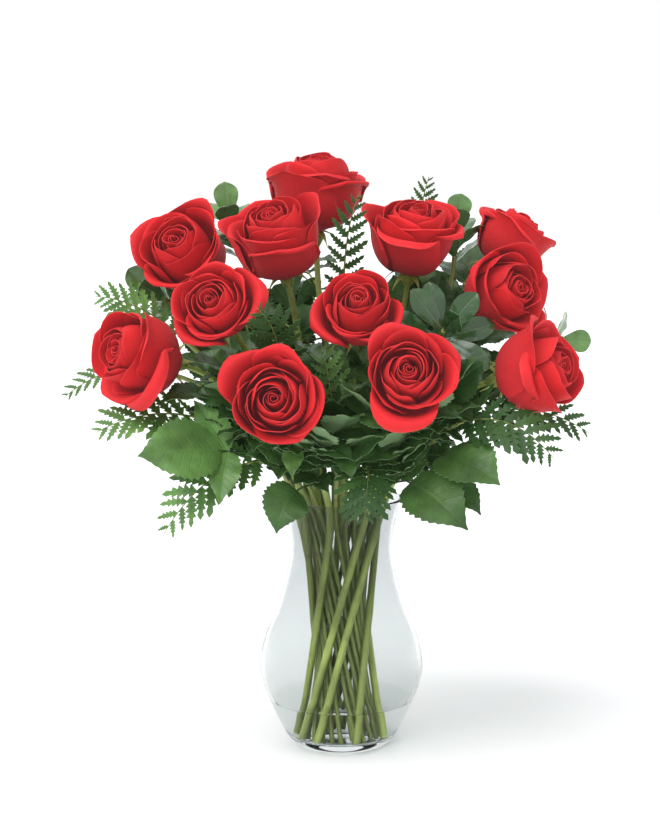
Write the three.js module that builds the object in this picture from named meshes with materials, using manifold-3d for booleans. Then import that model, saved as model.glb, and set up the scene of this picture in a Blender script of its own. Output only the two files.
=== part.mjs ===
// Twelve red roses in a clear glass vase, with rose leaves, fern fronds and glossy leafy stems.
// Millimetres, +Z up. The origin is the centre of the vase's flat bottom, and -Y is the front.
import * as THREE from 'three';
import { mergeVertices } from 'three/addons/utils/BufferGeometryUtils.js';
import Module from 'manifold-3d';

const wasm = await Module();
wasm.setup();

// ---------------------------------------------------------------- driving dimensions

// Vase: outside profile as [radius, height], from the flat bottom up to the flared rim.
const VASE_OUTSIDE = [[29, 0], [41, 6], [51, 23], [60.5, 46], [64.6, 66], [61, 87], [50, 114],
  [43.5, 138], [40.8, 160], [43, 182], [48.3, 199]];
const VASE_WALL = 3;
const VASE_FLOOR = 7; // thickness of the glass under the stems
const VASE_FLOOR_RADIUS = 37;
const VASE_HEEL = [44, 14]; // where the inside's rounded heel meets its wall
const VASE_SIDES = 18;

const WATER_LEVEL = 38;
const GAP = 0.3; // left between pieces that touch

// Every stem runs straight through the vase. It passes the bundle's waist at a ring's radius and
// leans round the axis by the ring's slope, so no two stems of a ring meet. The outer ring leans one
// way and the two within it the other, so that the stems cross.
const WAIST_HEIGHT = 98;
const NECK_HEIGHT = 168; // above this height the stems bend towards their flowers
const RINGS = {
  outer: { radius: 22.5, slope: 0.279 },
  middle: { radius: 17, slope: -0.24 },
  inner: { radius: 9, slope: -0.17 },
};

const ROSE_STEM = { radius: 2.9, sides: 5, steps: 6 };
const GREEN_STEM = { radius: 1.8, sides: 4, steps: 5 };
const HIP = { radius: 5.6, length: 13, top: 4.6, sides: 5 };
const SEPAL = { count: 5, half: 2.9, reach: 19, drop: 13, thickness: 0.9 };

// Bloom: each petal's profile is a smooth curve through the pull of five points [radius, height].
// A closed inner petal follows the first list, a fully open outer one the second.
const PETAL_CLOSED = [[3, 9], [13, 12], [16, 31], [12, 47], [8, 54]];
const PETAL_OPEN = [[3, 1], [34, 1], [38, 26], [35, 45], [40, 50]];
const PETAL_THICKNESS = 0.8;
const PETALS = { count: 8, closed: 4, turn: 2.39996, spread: 1.12 };
const BLOOM_MIDDLE = 26; // height of the bloom's centre over its base
const BUD = [[0, 0], [4.6, 0], [7.5, 12], [7, 28], [0, 48]];
const BUD_SIDES = 5;

const LEAF_THICKNESS = 0.7;
const PETIOLE_HALF = 0.9;

// Roses: centre of the bloom, the way it faces, its size against the standard bloom, the turn of
// its petals, and the ring and angle (degrees) at which its stem passes the waist of the bundle.
const ROSES = [
  { at: [-19, 75, 433], faces: [0.02, -0.12, 1], size: 1.08, turn: 10, ring: 'inner', waist: 152 },
  { at: [-49, -5, 399], faces: [-0.2, -0.4, 0.9], size: 1, turn: 60, ring: 'inner', waist: 242 },
  { at: [-124, 40, 386], faces: [-0.3, -0.75, 0.55], size: 1, turn: 200, ring: 'outer', waist: 79 },
  { at: [-93, -78, 354], faces: [-0.25, -0.85, 0.45], size: 0.81, turn: 120, ring: 'outer', waist: 165 },
  { at: [-152, -35, 314], faces: [-0.8, -0.55, 0.25], size: 1, turn: 30, ring: 'outer', waist: 138 },
  { at: [-48, -112, 290], faces: [-0.08, -0.97, 0.2], size: 0.92, turn: 250, ring: 'outer', waist: 210 },
  { at: [12, -78, 350], faces: [-0.05, -0.75, 0.65], size: 0.8, turn: 90, ring: 'inner', waist: 332 },
  { at: [47, -128, 310], faces: [0, -0.93, 0.35], size: 0.86, turn: 160, ring: 'outer', waist: 255 },
  { at: [56, 12, 400], faces: [0.1, -0.35, 0.93], size: 1, turn: 300, ring: 'inner', waist: 62 },
  { at: [136, 68, 395], faces: [0.55, 0, 0.8], size: 0.85, turn: 40, ring: 'outer', waist: 30 },
  { at: [123, -10, 360], faces: [0.6, -0.75, 0.3], size: 0.92, turn: 220, ring: 'outer', waist: 338 },
  { at: [144, -62, 305], faces: [0.85, -0.45, 0.25], size: 0.98, turn: 330, ring: 'outer', waist: 284 },
];

// Rose leaves: the rose that bears each, the height at which it leaves the stem, the bend and the
// tip of its midrib, the way its upper side faces, and half its width.
const ROSE_LEAVES = [
  { rose: 4, height: 232, bend: [-110, -88, 254], tip: [-151, -95, 246],
    up: [0, -1, 0.6], half: 25, pair: true },
  { rose: 4, height: 290, bend: [-86, 4, 326], tip: [-112, 20, 302], up: [-0.3, -0.3, 1], half: 15 },
  { rose: 5, height: 262, bend: [-105, -48, 298], tip: [-136, -60, 282], up: [-0.2, -0.5, 1], half: 16 },
  { rose: 6, height: 214, bend: [-44, -88, 226], tip: [-49, -90, 187], up: [0, -1, 0.3], half: 18 },
  { rose: 6, height: 258, bend: [-38, -88, 252], tip: [-37, -92, 230], up: [0, -1, 0.2], half: 8 },
  { rose: 12, height: 232, bend: [82, -96, 256], tip: [116, -105, 226], up: [0.2, -1, 0.8], half: 24 },
  { rose: 8, height: 222, bend: [54, -110, 236], tip: [92, -118, 195], up: [0.2, -1, 0.4], half: 23 },
  { rose: 12, height: 212, bend: [86, -46, 228], tip: [106, -52, 194],
    up: [0.3, -1, 0.5], half: 14, pair: true },
  { rose: 3, height: 270, bend: [-78, 78, 305], tip: [-112, 100, 275], up: [-0.4, 0.4, 1], half: 17 },
  { rose: 1, height: 260, bend: [-28, 78, 300], tip: [-48, 122, 275], up: [0, 0.5, 1], half: 18 },
  { rose: 10, height: 270, bend: [88, 85, 300], tip: [112, 118, 268], up: [0.3, 0.5, 1], half: 17 },
  { rose: 9, height: 250, bend: [28, 60, 285], tip: [30, 106, 262], up: [0.1, 0.5, 1], half: 17 },
];

// Fern fronds: where the blade starts, the bend and the tip of its rib, the way its face looks,
// half its width, and the ring and angle at which its stem passes the waist.
const FRONDS = [
  { from: [-106, -22, 263], bend: [-146, -42, 279], tip: [-187, -50, 257], up: [0, -0.8, 1], half: 18,
    ring: 'middle', waist: 256 },
  { from: [-61, -45, 234], bend: [-103, -70, 236], tip: [-134, -75, 184], up: [-0.4, -1, 0.6], half: 20,
    ring: 'middle', waist: 273 },
  { from: [-148, 25, 296], bend: [-186, 14, 304], tip: [-218, 8, 276], up: [0, -0.7, 1], half: 11,
    ring: 'middle', waist: 242 },
  { from: [-50, -58, 292], bend: [-40, -96, 336], tip: [-62, -116, 358], up: [0, -1, 0.2], half: 16,
    ring: 'middle', waist: 290 },
  { from: [2, 12, 348], bend: [0, 4, 400], tip: [13, -4, 436], up: [0, -1, 0.3], half: 12,
    ring: 'middle', waist: 118 },
  { from: [62, 60, 378], bend: [61, 64, 420], tip: [70, 62, 447], up: [0, -1, 0.2], half: 10,
    ring: 'middle', waist: 82 },
  { from: [-3, -58, 250], bend: [-8, -88, 298], tip: [-15, -92, 328], up: [0, -1, 0.4], half: 14,
    ring: 'middle', waist: 309 },
  { from: [99, -20, 262], bend: [144, -30, 285], tip: [190, -30, 254], up: [0, -0.8, 1], half: 18,
    ring: 'middle', waist: 35 },
  { from: [86, -56, 264], bend: [124, -86, 284], tip: [157, -96, 244], up: [0.1, -1, 0.7], half: 20,
    ring: 'middle', waist: 358 },
  { from: [20, -62, 232], bend: [20, -98, 236], tip: [16, -96, 196], up: [0, -1, 0.6], half: 18,
    ring: 'middle', waist: 324 },
  { from: [-128, 36, 322], bend: [-160, 32, 352], tip: [-194, 30, 354], up: [0, -1, 0.5], half: 14,
    ring: 'middle', waist: 218 },
  { from: [-54, 74, 258], bend: [-88, 128, 272], tip: [-104, 154, 228], up: [-0.3, 0.5, 1], half: 17,
    ring: 'middle', waist: 170 },
  { from: [56, 78, 256], bend: [90, 130, 270], tip: [108, 156, 226], up: [0.3, 0.5, 1], half: 17,
    ring: 'middle', waist: 101 },
  { from: [5, 85, 300], bend: [8, 140, 325], tip: [10, 170, 290], up: [0, 0.6, 1], half: 18,
    ring: 'middle', waist: 136 },
];
const FROND_PAIRS = 5;

// Leafy stems: the end of the stem, the way it points, how far its leaves open from it, their
// length and half width, how many they are, and the stem's ring and angle at the waist.
const LEAFY_STEMS = [
  { at: [-90, 80, 410], points: [-0.3, 0, 1], open: 0.9, leaf: 38, half: 10,
    count: 6, ring: 'middle', waist: 187 },
  { at: [-146, 60, 352], points: [-1, 0, 0.6], open: 0.8, leaf: 38, half: 10,
    count: 5, ring: 'middle', waist: 204 },
  { at: [92, 72, 404], points: [0, 0.1, 1], open: 0.75, leaf: 36, half: 10,
    count: 5, ring: 'middle', waist: 65 },
  { at: [76, -62, 336], points: [0.1, -1, 0.4], open: 1.25, leaf: 46, half: 9.5,
    count: 6, ring: 'middle', waist: 341 },
  { at: [168, 12, 320], points: [1, -0.1, 0.2], open: 1.1, leaf: 34, half: 9,
    count: 5, ring: 'middle', waist: 50 },
  { at: [92, -22, 304], points: [0.3, -0.6, 0.8], open: 1.1, leaf: 28, half: 9,
    count: 5, ring: 'middle', waist: 16 },
  { at: [-40, 105, 350], points: [-0.2, 0.8, 0.7], open: 1, leaf: 34, half: 9,
    count: 6, ring: 'middle', waist: 153 },
];

// ---------------------------------------------------------------- finishes

const finish = (color, roughness) => new THREE.MeshStandardMaterial({ color, roughness, metalness: 0 });
const GLASS = finish(0xe4eeee, 0.05);
const WATER = finish(0xdce9e6, 0.05);
const RED = finish(0xc8141f, 0.6);
const STEM_GREEN = finish(0x7f9a45, 0.5);
const FERN_GREEN = finish(0x2f6b3a, 0.55);
const GLOSSY_GREEN = finish(0x3c7440, 0.35);

// ---------------------------------------------------------------- solids

const vector = (p) => new THREE.Vector3(...p);
const degrees = (a) => (a * Math.PI) / 180;
const UP = new THREE.Vector3(0, 0, 1);

// A geometry as a solid. One that is inside out has its faces turned.
function solid(geometry) {
  const bare = geometry.clone();
  bare.deleteAttribute('normal');
  bare.deleteAttribute('uv');
  const merged = mergeVertices(bare, 1e-4);
  const vertProperties = merged.attributes.position.array;
  const triVerts = new Uint32Array(merged.index.array);
  const made = new wasm.Manifold(new wasm.Mesh({ numProp: 3, vertProperties, triVerts }));
  if (made.volume() > 0) return made;
  for (let i = 0; i < triVerts.length; i += 3) triVerts.subarray(i, i + 2).reverse();
  return new wasm.Manifold(new wasm.Mesh({ numProp: 3, vertProperties, triVerts }));
}

function geometryOf(body) {
  const { vertProperties, triVerts } = body.getMesh();
  const geometry = new THREE.BufferGeometry();
  geometry.setAttribute('position', new THREE.BufferAttribute(vertProperties, 3));
  geometry.setIndex(new THREE.BufferAttribute(triVerts, 1));
  geometry.computeVertexNormals();
  return geometry;
}

// Joins geometries into one body. Sealed hollows and loose scraps are left out.
function fuse(geometries) {
  const joined = geometries.map(solid).reduce((sum, next) => sum.add(next));
  const pieces = joined.decompose().filter((piece) => piece.volume() > 0);
  const body = pieces.reduce((best, piece) => (piece.volume() > best.volume() ? piece : best));
  return geometryOf(body);
}

// A thin closed blade: rows of points, each with its normal, get half the thickness on both sides.
// The two faces are split into triangles alike.
function sheet(points, normals, thickness) {
  const rows = points.length;
  const columns = points[0].length;
  const count = rows * columns;
  const position = new Float32Array(count * 6);
  points.flat().forEach((point, i) => {
    const offset = normals.flat()[i].clone().multiplyScalar(thickness / 2);
    point.clone().add(offset).toArray(position, i * 3);
    point.clone().sub(offset).toArray(position, (count + i) * 3);
  });
  const faces = [];
  const quad = (a, b, c, d) => faces.push(a, b, c, a, c, d);
  const front = (j, i) => j * columns + i;
  const back = (j, i) => count + front(j, i);
  for (let j = 0; j < rows - 1; j++) {
    for (let i = 0; i < columns - 1; i++) {
      quad(front(j, i), front(j, i + 1), front(j + 1, i + 1), front(j + 1, i));
      faces.push(back(j, i), back(j + 1, i + 1), back(j, i + 1));
      faces.push(back(j, i), back(j + 1, i), back(j + 1, i + 1));
    }
    quad(front(j, 0), front(j + 1, 0), back(j + 1, 0), back(j, 0));
    const last = columns - 1;
    quad(back(j, last), back(j + 1, last), front(j + 1, last), front(j, last));
  }
  for (let i = 0; i < columns - 1; i++) {
    quad(back(0, i), back(0, i + 1), front(0, i + 1), front(0, i));
    quad(front(rows - 1, i), front(rows - 1, i + 1), back(rows - 1, i + 1), back(rows - 1, i));
  }
  const geometry = new THREE.BufferGeometry();
  geometry.setAttribute('position', new THREE.BufferAttribute(position, 3));
  geometry.setIndex(faces);
  return geometry;
}

// A blade that arches along a curve between two edges. Each row is [share of the curve, half width].
function blade(curve, up, rows, thickness) {
  const points = [];
  const normals = [];
  for (const [share, half] of rows) {
    const middle = curve.getPoint(share);
    const along = curve.getTangent(share);
    const side = along.clone().cross(up).normalize();
    const normal = side.clone().cross(along);
    points.push([-half, half].map((offset) => middle.clone().addScaledVector(side, offset)));
    normals.push([normal, normal]);
  }
  return sheet(points, normals, thickness);
}

const arc = (from, bend, tip) => new THREE.QuadraticBezierCurve3(from, bend, tip);

// A round rod along a curve.
function rod(curve, { radius, sides, steps }) {
  const section = new THREE.Shape();
  for (let k = 0; k < sides; k++) {
    const angle = (k / sides) * 2 * Math.PI;
    const point = [radius * Math.cos(angle), radius * Math.sin(angle)];
    if (k === 0) section.moveTo(...point);
    else section.lineTo(...point);
  }
  section.closePath();
  return new THREE.ExtrudeGeometry(section, { steps, extrudePath: curve, curveSegments: 1 });
}

// A turned body, standing along +Z, from a profile of [radius, height].
function turned(profile, sides) {
  const geometry = new THREE.LatheGeometry(profile.map(([r, z]) => new THREE.Vector2(r, z)), sides);
  return geometry.rotateX(Math.PI / 2);
}

// ---------------------------------------------------------------- vase and water

const vaseInside = [[0, VASE_FLOOR], [VASE_FLOOR_RADIUS, VASE_FLOOR], VASE_HEEL,
  ...VASE_OUTSIDE.filter(([, z]) => z > VASE_HEEL[1]).map(([r, z]) => [r - VASE_WALL, z])];

function vase() {
  return geometryOf(solid(turned([[0, 0], ...VASE_OUTSIDE, ...vaseInside.toReversed()], VASE_SIDES)));
}

// The inside's radius at a height.
function insideRadius(height) {
  const k = vaseInside.findIndex(([, z]) => z > height);
  const [[r0, z0], [r1, z1]] = [vaseInside[k - 1], vaseInside[k]];
  return r0 + ((r1 - r0) * (height - z0)) / (z1 - z0);
}

// The water fills the vase up to its level, 0.3 mm off the glass, with a plain hole for each stem.
function water(stems) {
  const wet = vaseInside.filter(([, z]) => z < WATER_LEVEL).map(([r, z]) => [Math.max(0, r - GAP), z + GAP]);
  const surface = [[insideRadius(WATER_LEVEL) - 2 * GAP, WATER_LEVEL], [0, WATER_LEVEL]];
  let body = solid(turned([...wet, ...surface], VASE_SIDES));
  for (const { place, thick } of stems) {
    const hole = new THREE.LineCurve3(standing(place, 0), standing(place, WATER_LEVEL + 5));
    const radius = thick.radius / Math.cos(Math.PI / thick.sides) + 2 * GAP;
    body = body.subtract(solid(rod(hole, { radius, sides: thick.sides, steps: 1 })));
  }
  return geometryOf(body);
}

// ---------------------------------------------------------------- stems

// Where a stem's axis passes a height inside the vase.
function standing({ ring, waist }, height) {
  const { radius, slope } = RINGS[ring];
  const angle = degrees(waist);
  const lean = (height - WAIST_HEIGHT) * slope;
  return new THREE.Vector3(
    radius * Math.cos(angle) - lean * Math.sin(angle),
    radius * Math.sin(angle) + lean * Math.cos(angle),
    height,
  );
}

// A stem's axis: straight from the vase's floor up to the neck, then one bend to its end.
class StemPath extends THREE.Curve {
  constructor(place, radius, end, way) {
    super();
    const { slope } = RINGS[place.ring];
    const foot = VASE_FLOOR + GAP + (radius * Math.abs(slope)) / Math.hypot(1, slope);
    this.foot = standing(place, foot);
    this.neck = standing(place, NECK_HEIGHT);
    const lean = this.neck.clone().sub(this.foot).normalize();
    const reach = this.neck.distanceTo(end);
    this.bend = new THREE.CubicBezierCurve3(
      this.neck,
      this.neck.clone().addScaledVector(lean, 0.4 * reach),
      end.clone().addScaledVector(way, -0.35 * reach),
      end,
    );
    const straight = this.neck.distanceTo(this.foot);
    this.straightShare = straight / (straight + this.bend.getLength());
  }

  getPoint(share, target = new THREE.Vector3()) {
    const { straightShare } = this;
    if (share < straightShare) return target.lerpVectors(this.foot, this.neck, share / straightShare);
    return this.bend.getPoint((share - straightShare) / (1 - straightShare), target);
  }

  // The point at which the stem first reaches a height.
  pointAtHeight(height) {
    const points = this.getPoints(200);
    return points.find((point) => point.z >= height) ?? points.at(-1);
  }
}

// ---------------------------------------------------------------- blooms

// The point of a petal at side (-1 to 1) and rise (0 root to 1 tip). openness runs from 0 for the
// innermost petal to 1 for the outermost. The profile is a Bernstein curve, turned by an angle that
// grows with side, and lower towards the petal's corners.
function petalPoint(openness, turn, side, rise) {
  const s = rise * (1 - 0.16 * side * side);
  const weights = [1, 4, 6, 4, 1].map((c, k) => c * s ** k * (1 - s) ** (4 - k));
  let radius = 0;
  let height = 0;
  weights.forEach((weight, k) => {
    radius += weight * ((1 - openness) * PETAL_CLOSED[k][0] + openness * PETAL_OPEN[k][0]);
    height += weight * ((1 - openness) * PETAL_CLOSED[k][1] + openness * PETAL_OPEN[k][1]);
  });
  const roll = openness * rise * rise * (side ** 4) * 3;
  const angle = turn + side * PETALS.spread * (0.55 + 0.45 * Math.min(1, 1.6 * rise));
  return new THREE.Vector3((radius + roll) * Math.cos(angle), (radius + roll) * Math.sin(angle), height);
}

function petal(openness, turn, columns, rows) {
  const step = 0.02;
  const at = (side, rise) => petalPoint(openness, turn, side, rise);
  const points = [];
  const normals = [];
  for (let j = 0; j <= rows; j++) {
    points.push([]);
    normals.push([]);
    for (let i = 0; i <= columns; i++) {
      const side = -1 + (2 * i) / columns;
      const rise = j / rows;
      const across = at(side + step, rise).sub(at(side - step, rise));
      const along = at(side, rise + step).sub(at(side, rise - step));
      points[j].push(at(side, rise));
      normals[j].push(across.cross(along).normalize());
    }
  }
  return sheet(points, normals, PETAL_THICKNESS);
}

function bloom({ size, turn }) {
  const parts = [turned(BUD, BUD_SIDES)];
  for (let k = 0; k < PETALS.count; k++) {
    const [columns, rows] = k < PETALS.closed ? [2, 2] : [3, 3];
    parts.push(petal((k + 0.5) / PETALS.count, degrees(turn) + k * PETALS.turn, columns, rows));
  }
  return fuse(parts).scale(size, size, size);
}

// The turn that carries +Z to the way a rose faces.
const facing = (rose) => new THREE.Quaternion().setFromUnitVectors(UP, vector(rose.faces).normalize());

// A point given in the rose's own frame, whose origin is the bloom's base.
function inRose(rose, point) {
  const way = vector(rose.faces).normalize();
  const base = vector(rose.at).addScaledVector(way, -BLOOM_MIDDLE * rose.size);
  return point.clone().applyQuaternion(facing(rose)).add(base);
}

// ---------------------------------------------------------------- rose stems and leaves

function sepal(rose, k) {
  const angle = degrees(rose.turn) + (k / SEPAL.count) * 2 * Math.PI;
  const at = (r, z) => inRose(rose, new THREE.Vector3(r * Math.cos(angle), r * Math.sin(angle), z - GAP));
  const curve = arc(at(3, -2.5), at(0.7 * SEPAL.reach, -2.5), at(SEPAL.reach, -SEPAL.drop));
  const up = at(0, 1).sub(at(0, 0));
  const rows = [[0, SEPAL.half * 0.9], [1, 0.5]];
  return blade(curve, up, rows, SEPAL.thickness);
}

// Half the width of a leaf at a share of its length, against its widest: egg-shaped.
const ovate = (share) => Math.sin(Math.PI * share ** 0.75) ** 0.8;

// A leaf's rows: a slim stalk, then teeth along both edges.
function leafRows(half, stalk, teeth) {
  const rows = [[0, PETIOLE_HALF], [stalk, PETIOLE_HALF]];
  for (let k = 0; k < teeth; k++) {
    const tooth = stalk + ((1 - stalk) * (k + 0.7)) / (teeth + 0.4);
    const notch = stalk + ((1 - stalk) * (k + 0.95)) / (teeth + 0.4);
    rows.push([tooth, half * ovate((k + 0.7) / (teeth + 0.4))]);
    if (k < teeth - 1) rows.push([notch, 0.84 * half * ovate((k + 0.95) / (teeth + 0.4))]);
  }
  rows.push([1, 0.4]);
  return rows;
}

// A rose leaf: an end leaflet on a stalk with a pair of smaller leaflets.
function roseLeaf(path, { height, bend, tip, up, half, pair }) {
  const root = path.pointAtHeight(height);
  const curve = arc(root, vector(bend), vector(tip));
  const face = vector(up).normalize();
  const parts = [blade(curve, face, leafRows(half, 0.42, 3), LEAF_THICKNESS)];
  if (!pair) return parts;
  const fork = curve.getPoint(0.36);
  const along = curve.getTangent(0.36);
  const side = along.clone().cross(face).normalize();
  const length = half * 1.9;
  for (const way of [-1, 1]) {
    const out = along.clone().multiplyScalar(0.45).addScaledVector(side, way).normalize();
    const middle = fork.clone().addScaledVector(out, length / 2).addScaledVector(face, 3);
    const end = fork.clone().addScaledVector(out, length).addScaledVector(face, -3);
    const rows = [[0, PETIOLE_HALF], [0.35, half * 0.5], [0.7, half * 0.42], [1, 0.4]];
    parts.push(blade(arc(fork, middle, end), face, rows, LEAF_THICKNESS));
  }
  return parts;
}

function stemPathOf(rose) {
  const way = vector(rose.faces).normalize();
  const end = inRose(rose, new THREE.Vector3(0, 0, -GAP - HIP.length * 0.5));
  return new StemPath(rose, ROSE_STEM.radius, end, way);
}

function roseStem(rose, leaves) {
  const path = stemPathOf(rose);
  const hip = turned([[0, -HIP.length], [HIP.radius, -HIP.length * 0.45], [HIP.top, 0], [0, 0]], HIP.sides);
  hip.applyMatrix4(new THREE.Matrix4().makeRotationFromQuaternion(facing(rose)));
  hip.translate(...inRose(rose, new THREE.Vector3(0, 0, -GAP)).toArray());
  const sepals = Array.from({ length: SEPAL.count }, (_, k) => sepal(rose, k));
  return fuse([rod(path, ROSE_STEM), hip, ...sepals, ...leaves.flatMap((leaf) => roseLeaf(path, leaf))]);
}

// ---------------------------------------------------------------- ferns and leafy stems

const frondCurve = ({ from, bend, tip }) => arc(vector(from), vector(bend), vector(tip));

function greenPath(place, end, way) {
  return new StemPath(place, GREEN_STEM.radius, end, way);
}

// A frond: leaflets cut to the rib, longest in the lower third, swept towards the tip.
function frond(place) {
  const curve = frondCurve(place);
  const rows = [[0, 1]];
  for (let k = 0; k < FROND_PAIRS; k++) {
    const share = (k + 0.55) / FROND_PAIRS;
    const half = place.half * Math.sin(Math.PI * (0.3 + 0.68 * share)) ** 0.8;
    rows.push([(k + 0.7) / FROND_PAIRS, half], [(k + 1) / FROND_PAIRS, k + 1 < FROND_PAIRS ? 0.9 : 0.4]);
  }
  const stem = greenPath(place, curve.getPoint(0.02), curve.getTangent(0));
  return fuse([rod(stem, GREEN_STEM), blade(curve, vector(place.up).normalize(), rows, LEAF_THICKNESS)]);
}

// A leafy stem: leaves spiral round the last stretch of the stem, and one ends it.
function leafyStem(place) {
  const way = vector(place.points).normalize();
  const end = vector(place.at);
  const turnTo = new THREE.Quaternion().setFromUnitVectors(UP, way);
  const parts = [rod(greenPath(place, end, way), GREEN_STEM)];
  for (let k = 0; k < place.count; k++) {
    const angle = k * PETALS.turn;
    const open = k === 0 ? 0.15 : place.open * (0.75 + (0.35 * k) / place.count);
    const out = new THREE.Vector3(Math.cos(angle), Math.sin(angle), 0).multiplyScalar(Math.sin(open))
      .setZ(Math.cos(open)).applyQuaternion(turnTo);
    const root = end.clone().addScaledVector(way, -1 - 3.2 * k);
    const middle = root.clone().addScaledVector(out, place.leaf * 0.6).addScaledVector(way, 2);
    const tip = root.clone().addScaledVector(out, place.leaf).addScaledVector(way, -4);
    const face = k === 0 ? new THREE.Vector3(0, -1, 0.2) : way;
    const rows = [[0, 0.8], [0.45, 0.85 * place.half], [0.75, place.half], [1, 0.25 * place.half]];
    parts.push(blade(arc(root, middle, tip), face, rows, LEAF_THICKNESS));
  }
  return fuse(parts);
}

// ---------------------------------------------------------------- assembly

const bouquet = new THREE.Group();

function add(name, geometry, material) {
  const mesh = new THREE.Mesh(geometry, material);
  mesh.name = name;
  bouquet.add(mesh);
  return mesh;
}

const numbered = (name, index) => `${name}_${String(index + 1).padStart(2, '0')}`;

add('vase', vase(), GLASS);
add('water', water([
  ...ROSES.map((place) => ({ place, thick: ROSE_STEM })),
  ...[...FRONDS, ...LEAFY_STEMS].map((place) => ({ place, thick: GREEN_STEM })),
]), WATER);

ROSES.forEach((rose, i) => {
  const flower = add(numbered('rose_bloom', i), bloom(rose), RED);
  flower.position.copy(inRose(rose, new THREE.Vector3()));
  flower.quaternion.copy(facing(rose));
  const leaves = ROSE_LEAVES.filter((leaf) => leaf.rose === i + 1);
  add(numbered('rose_stem', i), roseStem(rose, leaves), STEM_GREEN);
});
FRONDS.forEach((place, i) => add(numbered('fern_frond', i), frond(place), FERN_GREEN));
LEAFY_STEMS.forEach((place, i) => add(numbered('leafy_stem', i), leafyStem(place), GLOSSY_GREEN));

export default bouquet;
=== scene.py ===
"""Twelve red roses with rose leaves, fern fronds and glossy leafy stems in a clear glass vase of water.

Shapes are worked out in millimetres, +Z up, with the origin at the centre of the vase's flat bottom
and the front towards -Y, and are put into Blender in metres.
"""

import math

import bpy
import numpy as np
from bpy.props import FloatProperty, FloatVectorProperty, IntProperty, PointerProperty
from bpy.types import Operator, Panel, PropertyGroup
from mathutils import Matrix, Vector


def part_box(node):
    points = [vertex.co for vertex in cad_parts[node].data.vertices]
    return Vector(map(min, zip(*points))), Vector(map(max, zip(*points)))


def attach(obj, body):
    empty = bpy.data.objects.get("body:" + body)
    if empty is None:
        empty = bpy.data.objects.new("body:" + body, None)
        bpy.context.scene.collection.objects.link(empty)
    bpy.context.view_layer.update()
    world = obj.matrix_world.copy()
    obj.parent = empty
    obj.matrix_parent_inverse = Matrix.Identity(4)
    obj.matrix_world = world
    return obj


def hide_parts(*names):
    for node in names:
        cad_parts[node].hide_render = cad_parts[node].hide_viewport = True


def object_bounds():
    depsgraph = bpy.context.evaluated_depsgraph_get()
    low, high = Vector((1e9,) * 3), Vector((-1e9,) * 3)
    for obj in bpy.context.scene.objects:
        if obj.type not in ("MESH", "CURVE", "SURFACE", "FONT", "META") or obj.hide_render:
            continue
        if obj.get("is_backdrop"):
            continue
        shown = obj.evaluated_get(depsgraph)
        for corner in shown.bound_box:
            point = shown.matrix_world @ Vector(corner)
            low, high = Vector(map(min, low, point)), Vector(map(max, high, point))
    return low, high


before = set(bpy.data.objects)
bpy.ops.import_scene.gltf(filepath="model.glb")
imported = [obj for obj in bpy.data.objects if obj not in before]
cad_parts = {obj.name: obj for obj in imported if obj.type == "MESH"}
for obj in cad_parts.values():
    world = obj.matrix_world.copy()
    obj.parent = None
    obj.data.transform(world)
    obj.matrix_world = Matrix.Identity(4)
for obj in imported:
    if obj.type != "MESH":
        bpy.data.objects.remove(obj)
CAD_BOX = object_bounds()

bl_info = {
    "name": "Roses in a Vase",
    "version": (1, 0, 0),
    "blender": (4, 5, 0),
    "location": "View3D > Sidebar > Roses",
    "description": "Builds twelve red roses with ferns and leaves in a clear glass vase",
    "category": "Object",
}

MM = 0.001
GOLDEN_TURN = 2.39996  # radians between one petal or leaf and the next
ANY_PHASE = 6.28  # a random share of this is where a wave begins
UP = np.array([0.0, 0.0, 1.0])
BLOOM_SEED, ROSE_SEED, FERN_SEED, LEAFY_SEED = 100, 7, 11, 13  # each bloom adds its number to the first

# ---------------------------------------------------------------- driving dimensions, in mm

# Vase and water, as [radius, height].
VASE_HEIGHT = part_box("vase")[1].z / MM
VASE_OUTSIDE = [
    (29, 0), (35.5, 1.6), (41, 6), (45.5, 13), (50.5, 23), (57, 37), (62.3, 51), (64.4, 66), (60.5, 87),
    (52, 108), (45.2, 131), (41.4, 149), (40.6, 162), (42.6, 180), (46.9, VASE_HEIGHT - 5),
    (48.3, VASE_HEIGHT - 1.2),
]
VASE_WALL, VASE_WALL_FROM = 3.0, 18.5  # the wall's thickness, and the height from which it has it
VASE_INSIDE_FLOOR = [(24, 7.2), (34, 7.8), (40, 10), (43.5, 14.5)]
VASE_PUNT = [(18, 1.8), (25, 0.8)]  # the shallow hollow under the bottom
VASE_LIP = 1.2  # height of the rounded rim
VASE_SIDES, WATER_SIDES = 128, 96
PROFILE_STEPS = 6  # places from each point of a profile to the next
WATER_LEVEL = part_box("water")[1].z / MM
WATER_OVERLAP = 0.15  # how far the water goes into the glass, so that no film of air shows
WATER_SKIN = [(0.1, 0), (-1.2, -0.8), (-4, -1.1)]  # its surface beside the glass: further out, and higher
WATER_MIDDLE = 2.0  # the radius at which its surface is closed
WATER_GAP = 0.5  # the wetted wall ends at least this far under the surface

# Stems. Each ring has its radius at the waist of the bundle, and how far its stems lean round the axis
# for each mm of height. The outer ring leans one way and the two within it the other.
WAIST_HEIGHT, NECK_HEIGHT, STEM_FOOT = 98.0, 168.0, 7.3
RINGS = {"outer": (22.5, 0.279), "middle": (17.0, -0.24), "inner": (9.0, -0.17)}
STEM_BENDS = (0.4, 0.35)  # handles of a stem's curve at the neck and at its end, against its span
ROSE_STEM_RADIUS, GREEN_STEM_RADIUS = 2.9, 1.8
ROSE_STEM_SIDES, GREEN_STEM_SIDES, HIP_SIDES, STALK_SIDES = 12, 8, 20, 6
STRAIGHT_PLACES, STEM_PLACES = 16, 150  # places along a stem's straight part, and along a rose's stem
ROSE_STEM_TAPER = 0.80
NODES = np.arange(0.13, 0.8, 0.145)  # shares of a stem's length where it is thicker
NODE_RISE, NODE_SPREAD = 0.45, 0.011
THORNS = np.array([0.5, 0.62, 0.74])  # and shares of it at which thorns stand
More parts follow.
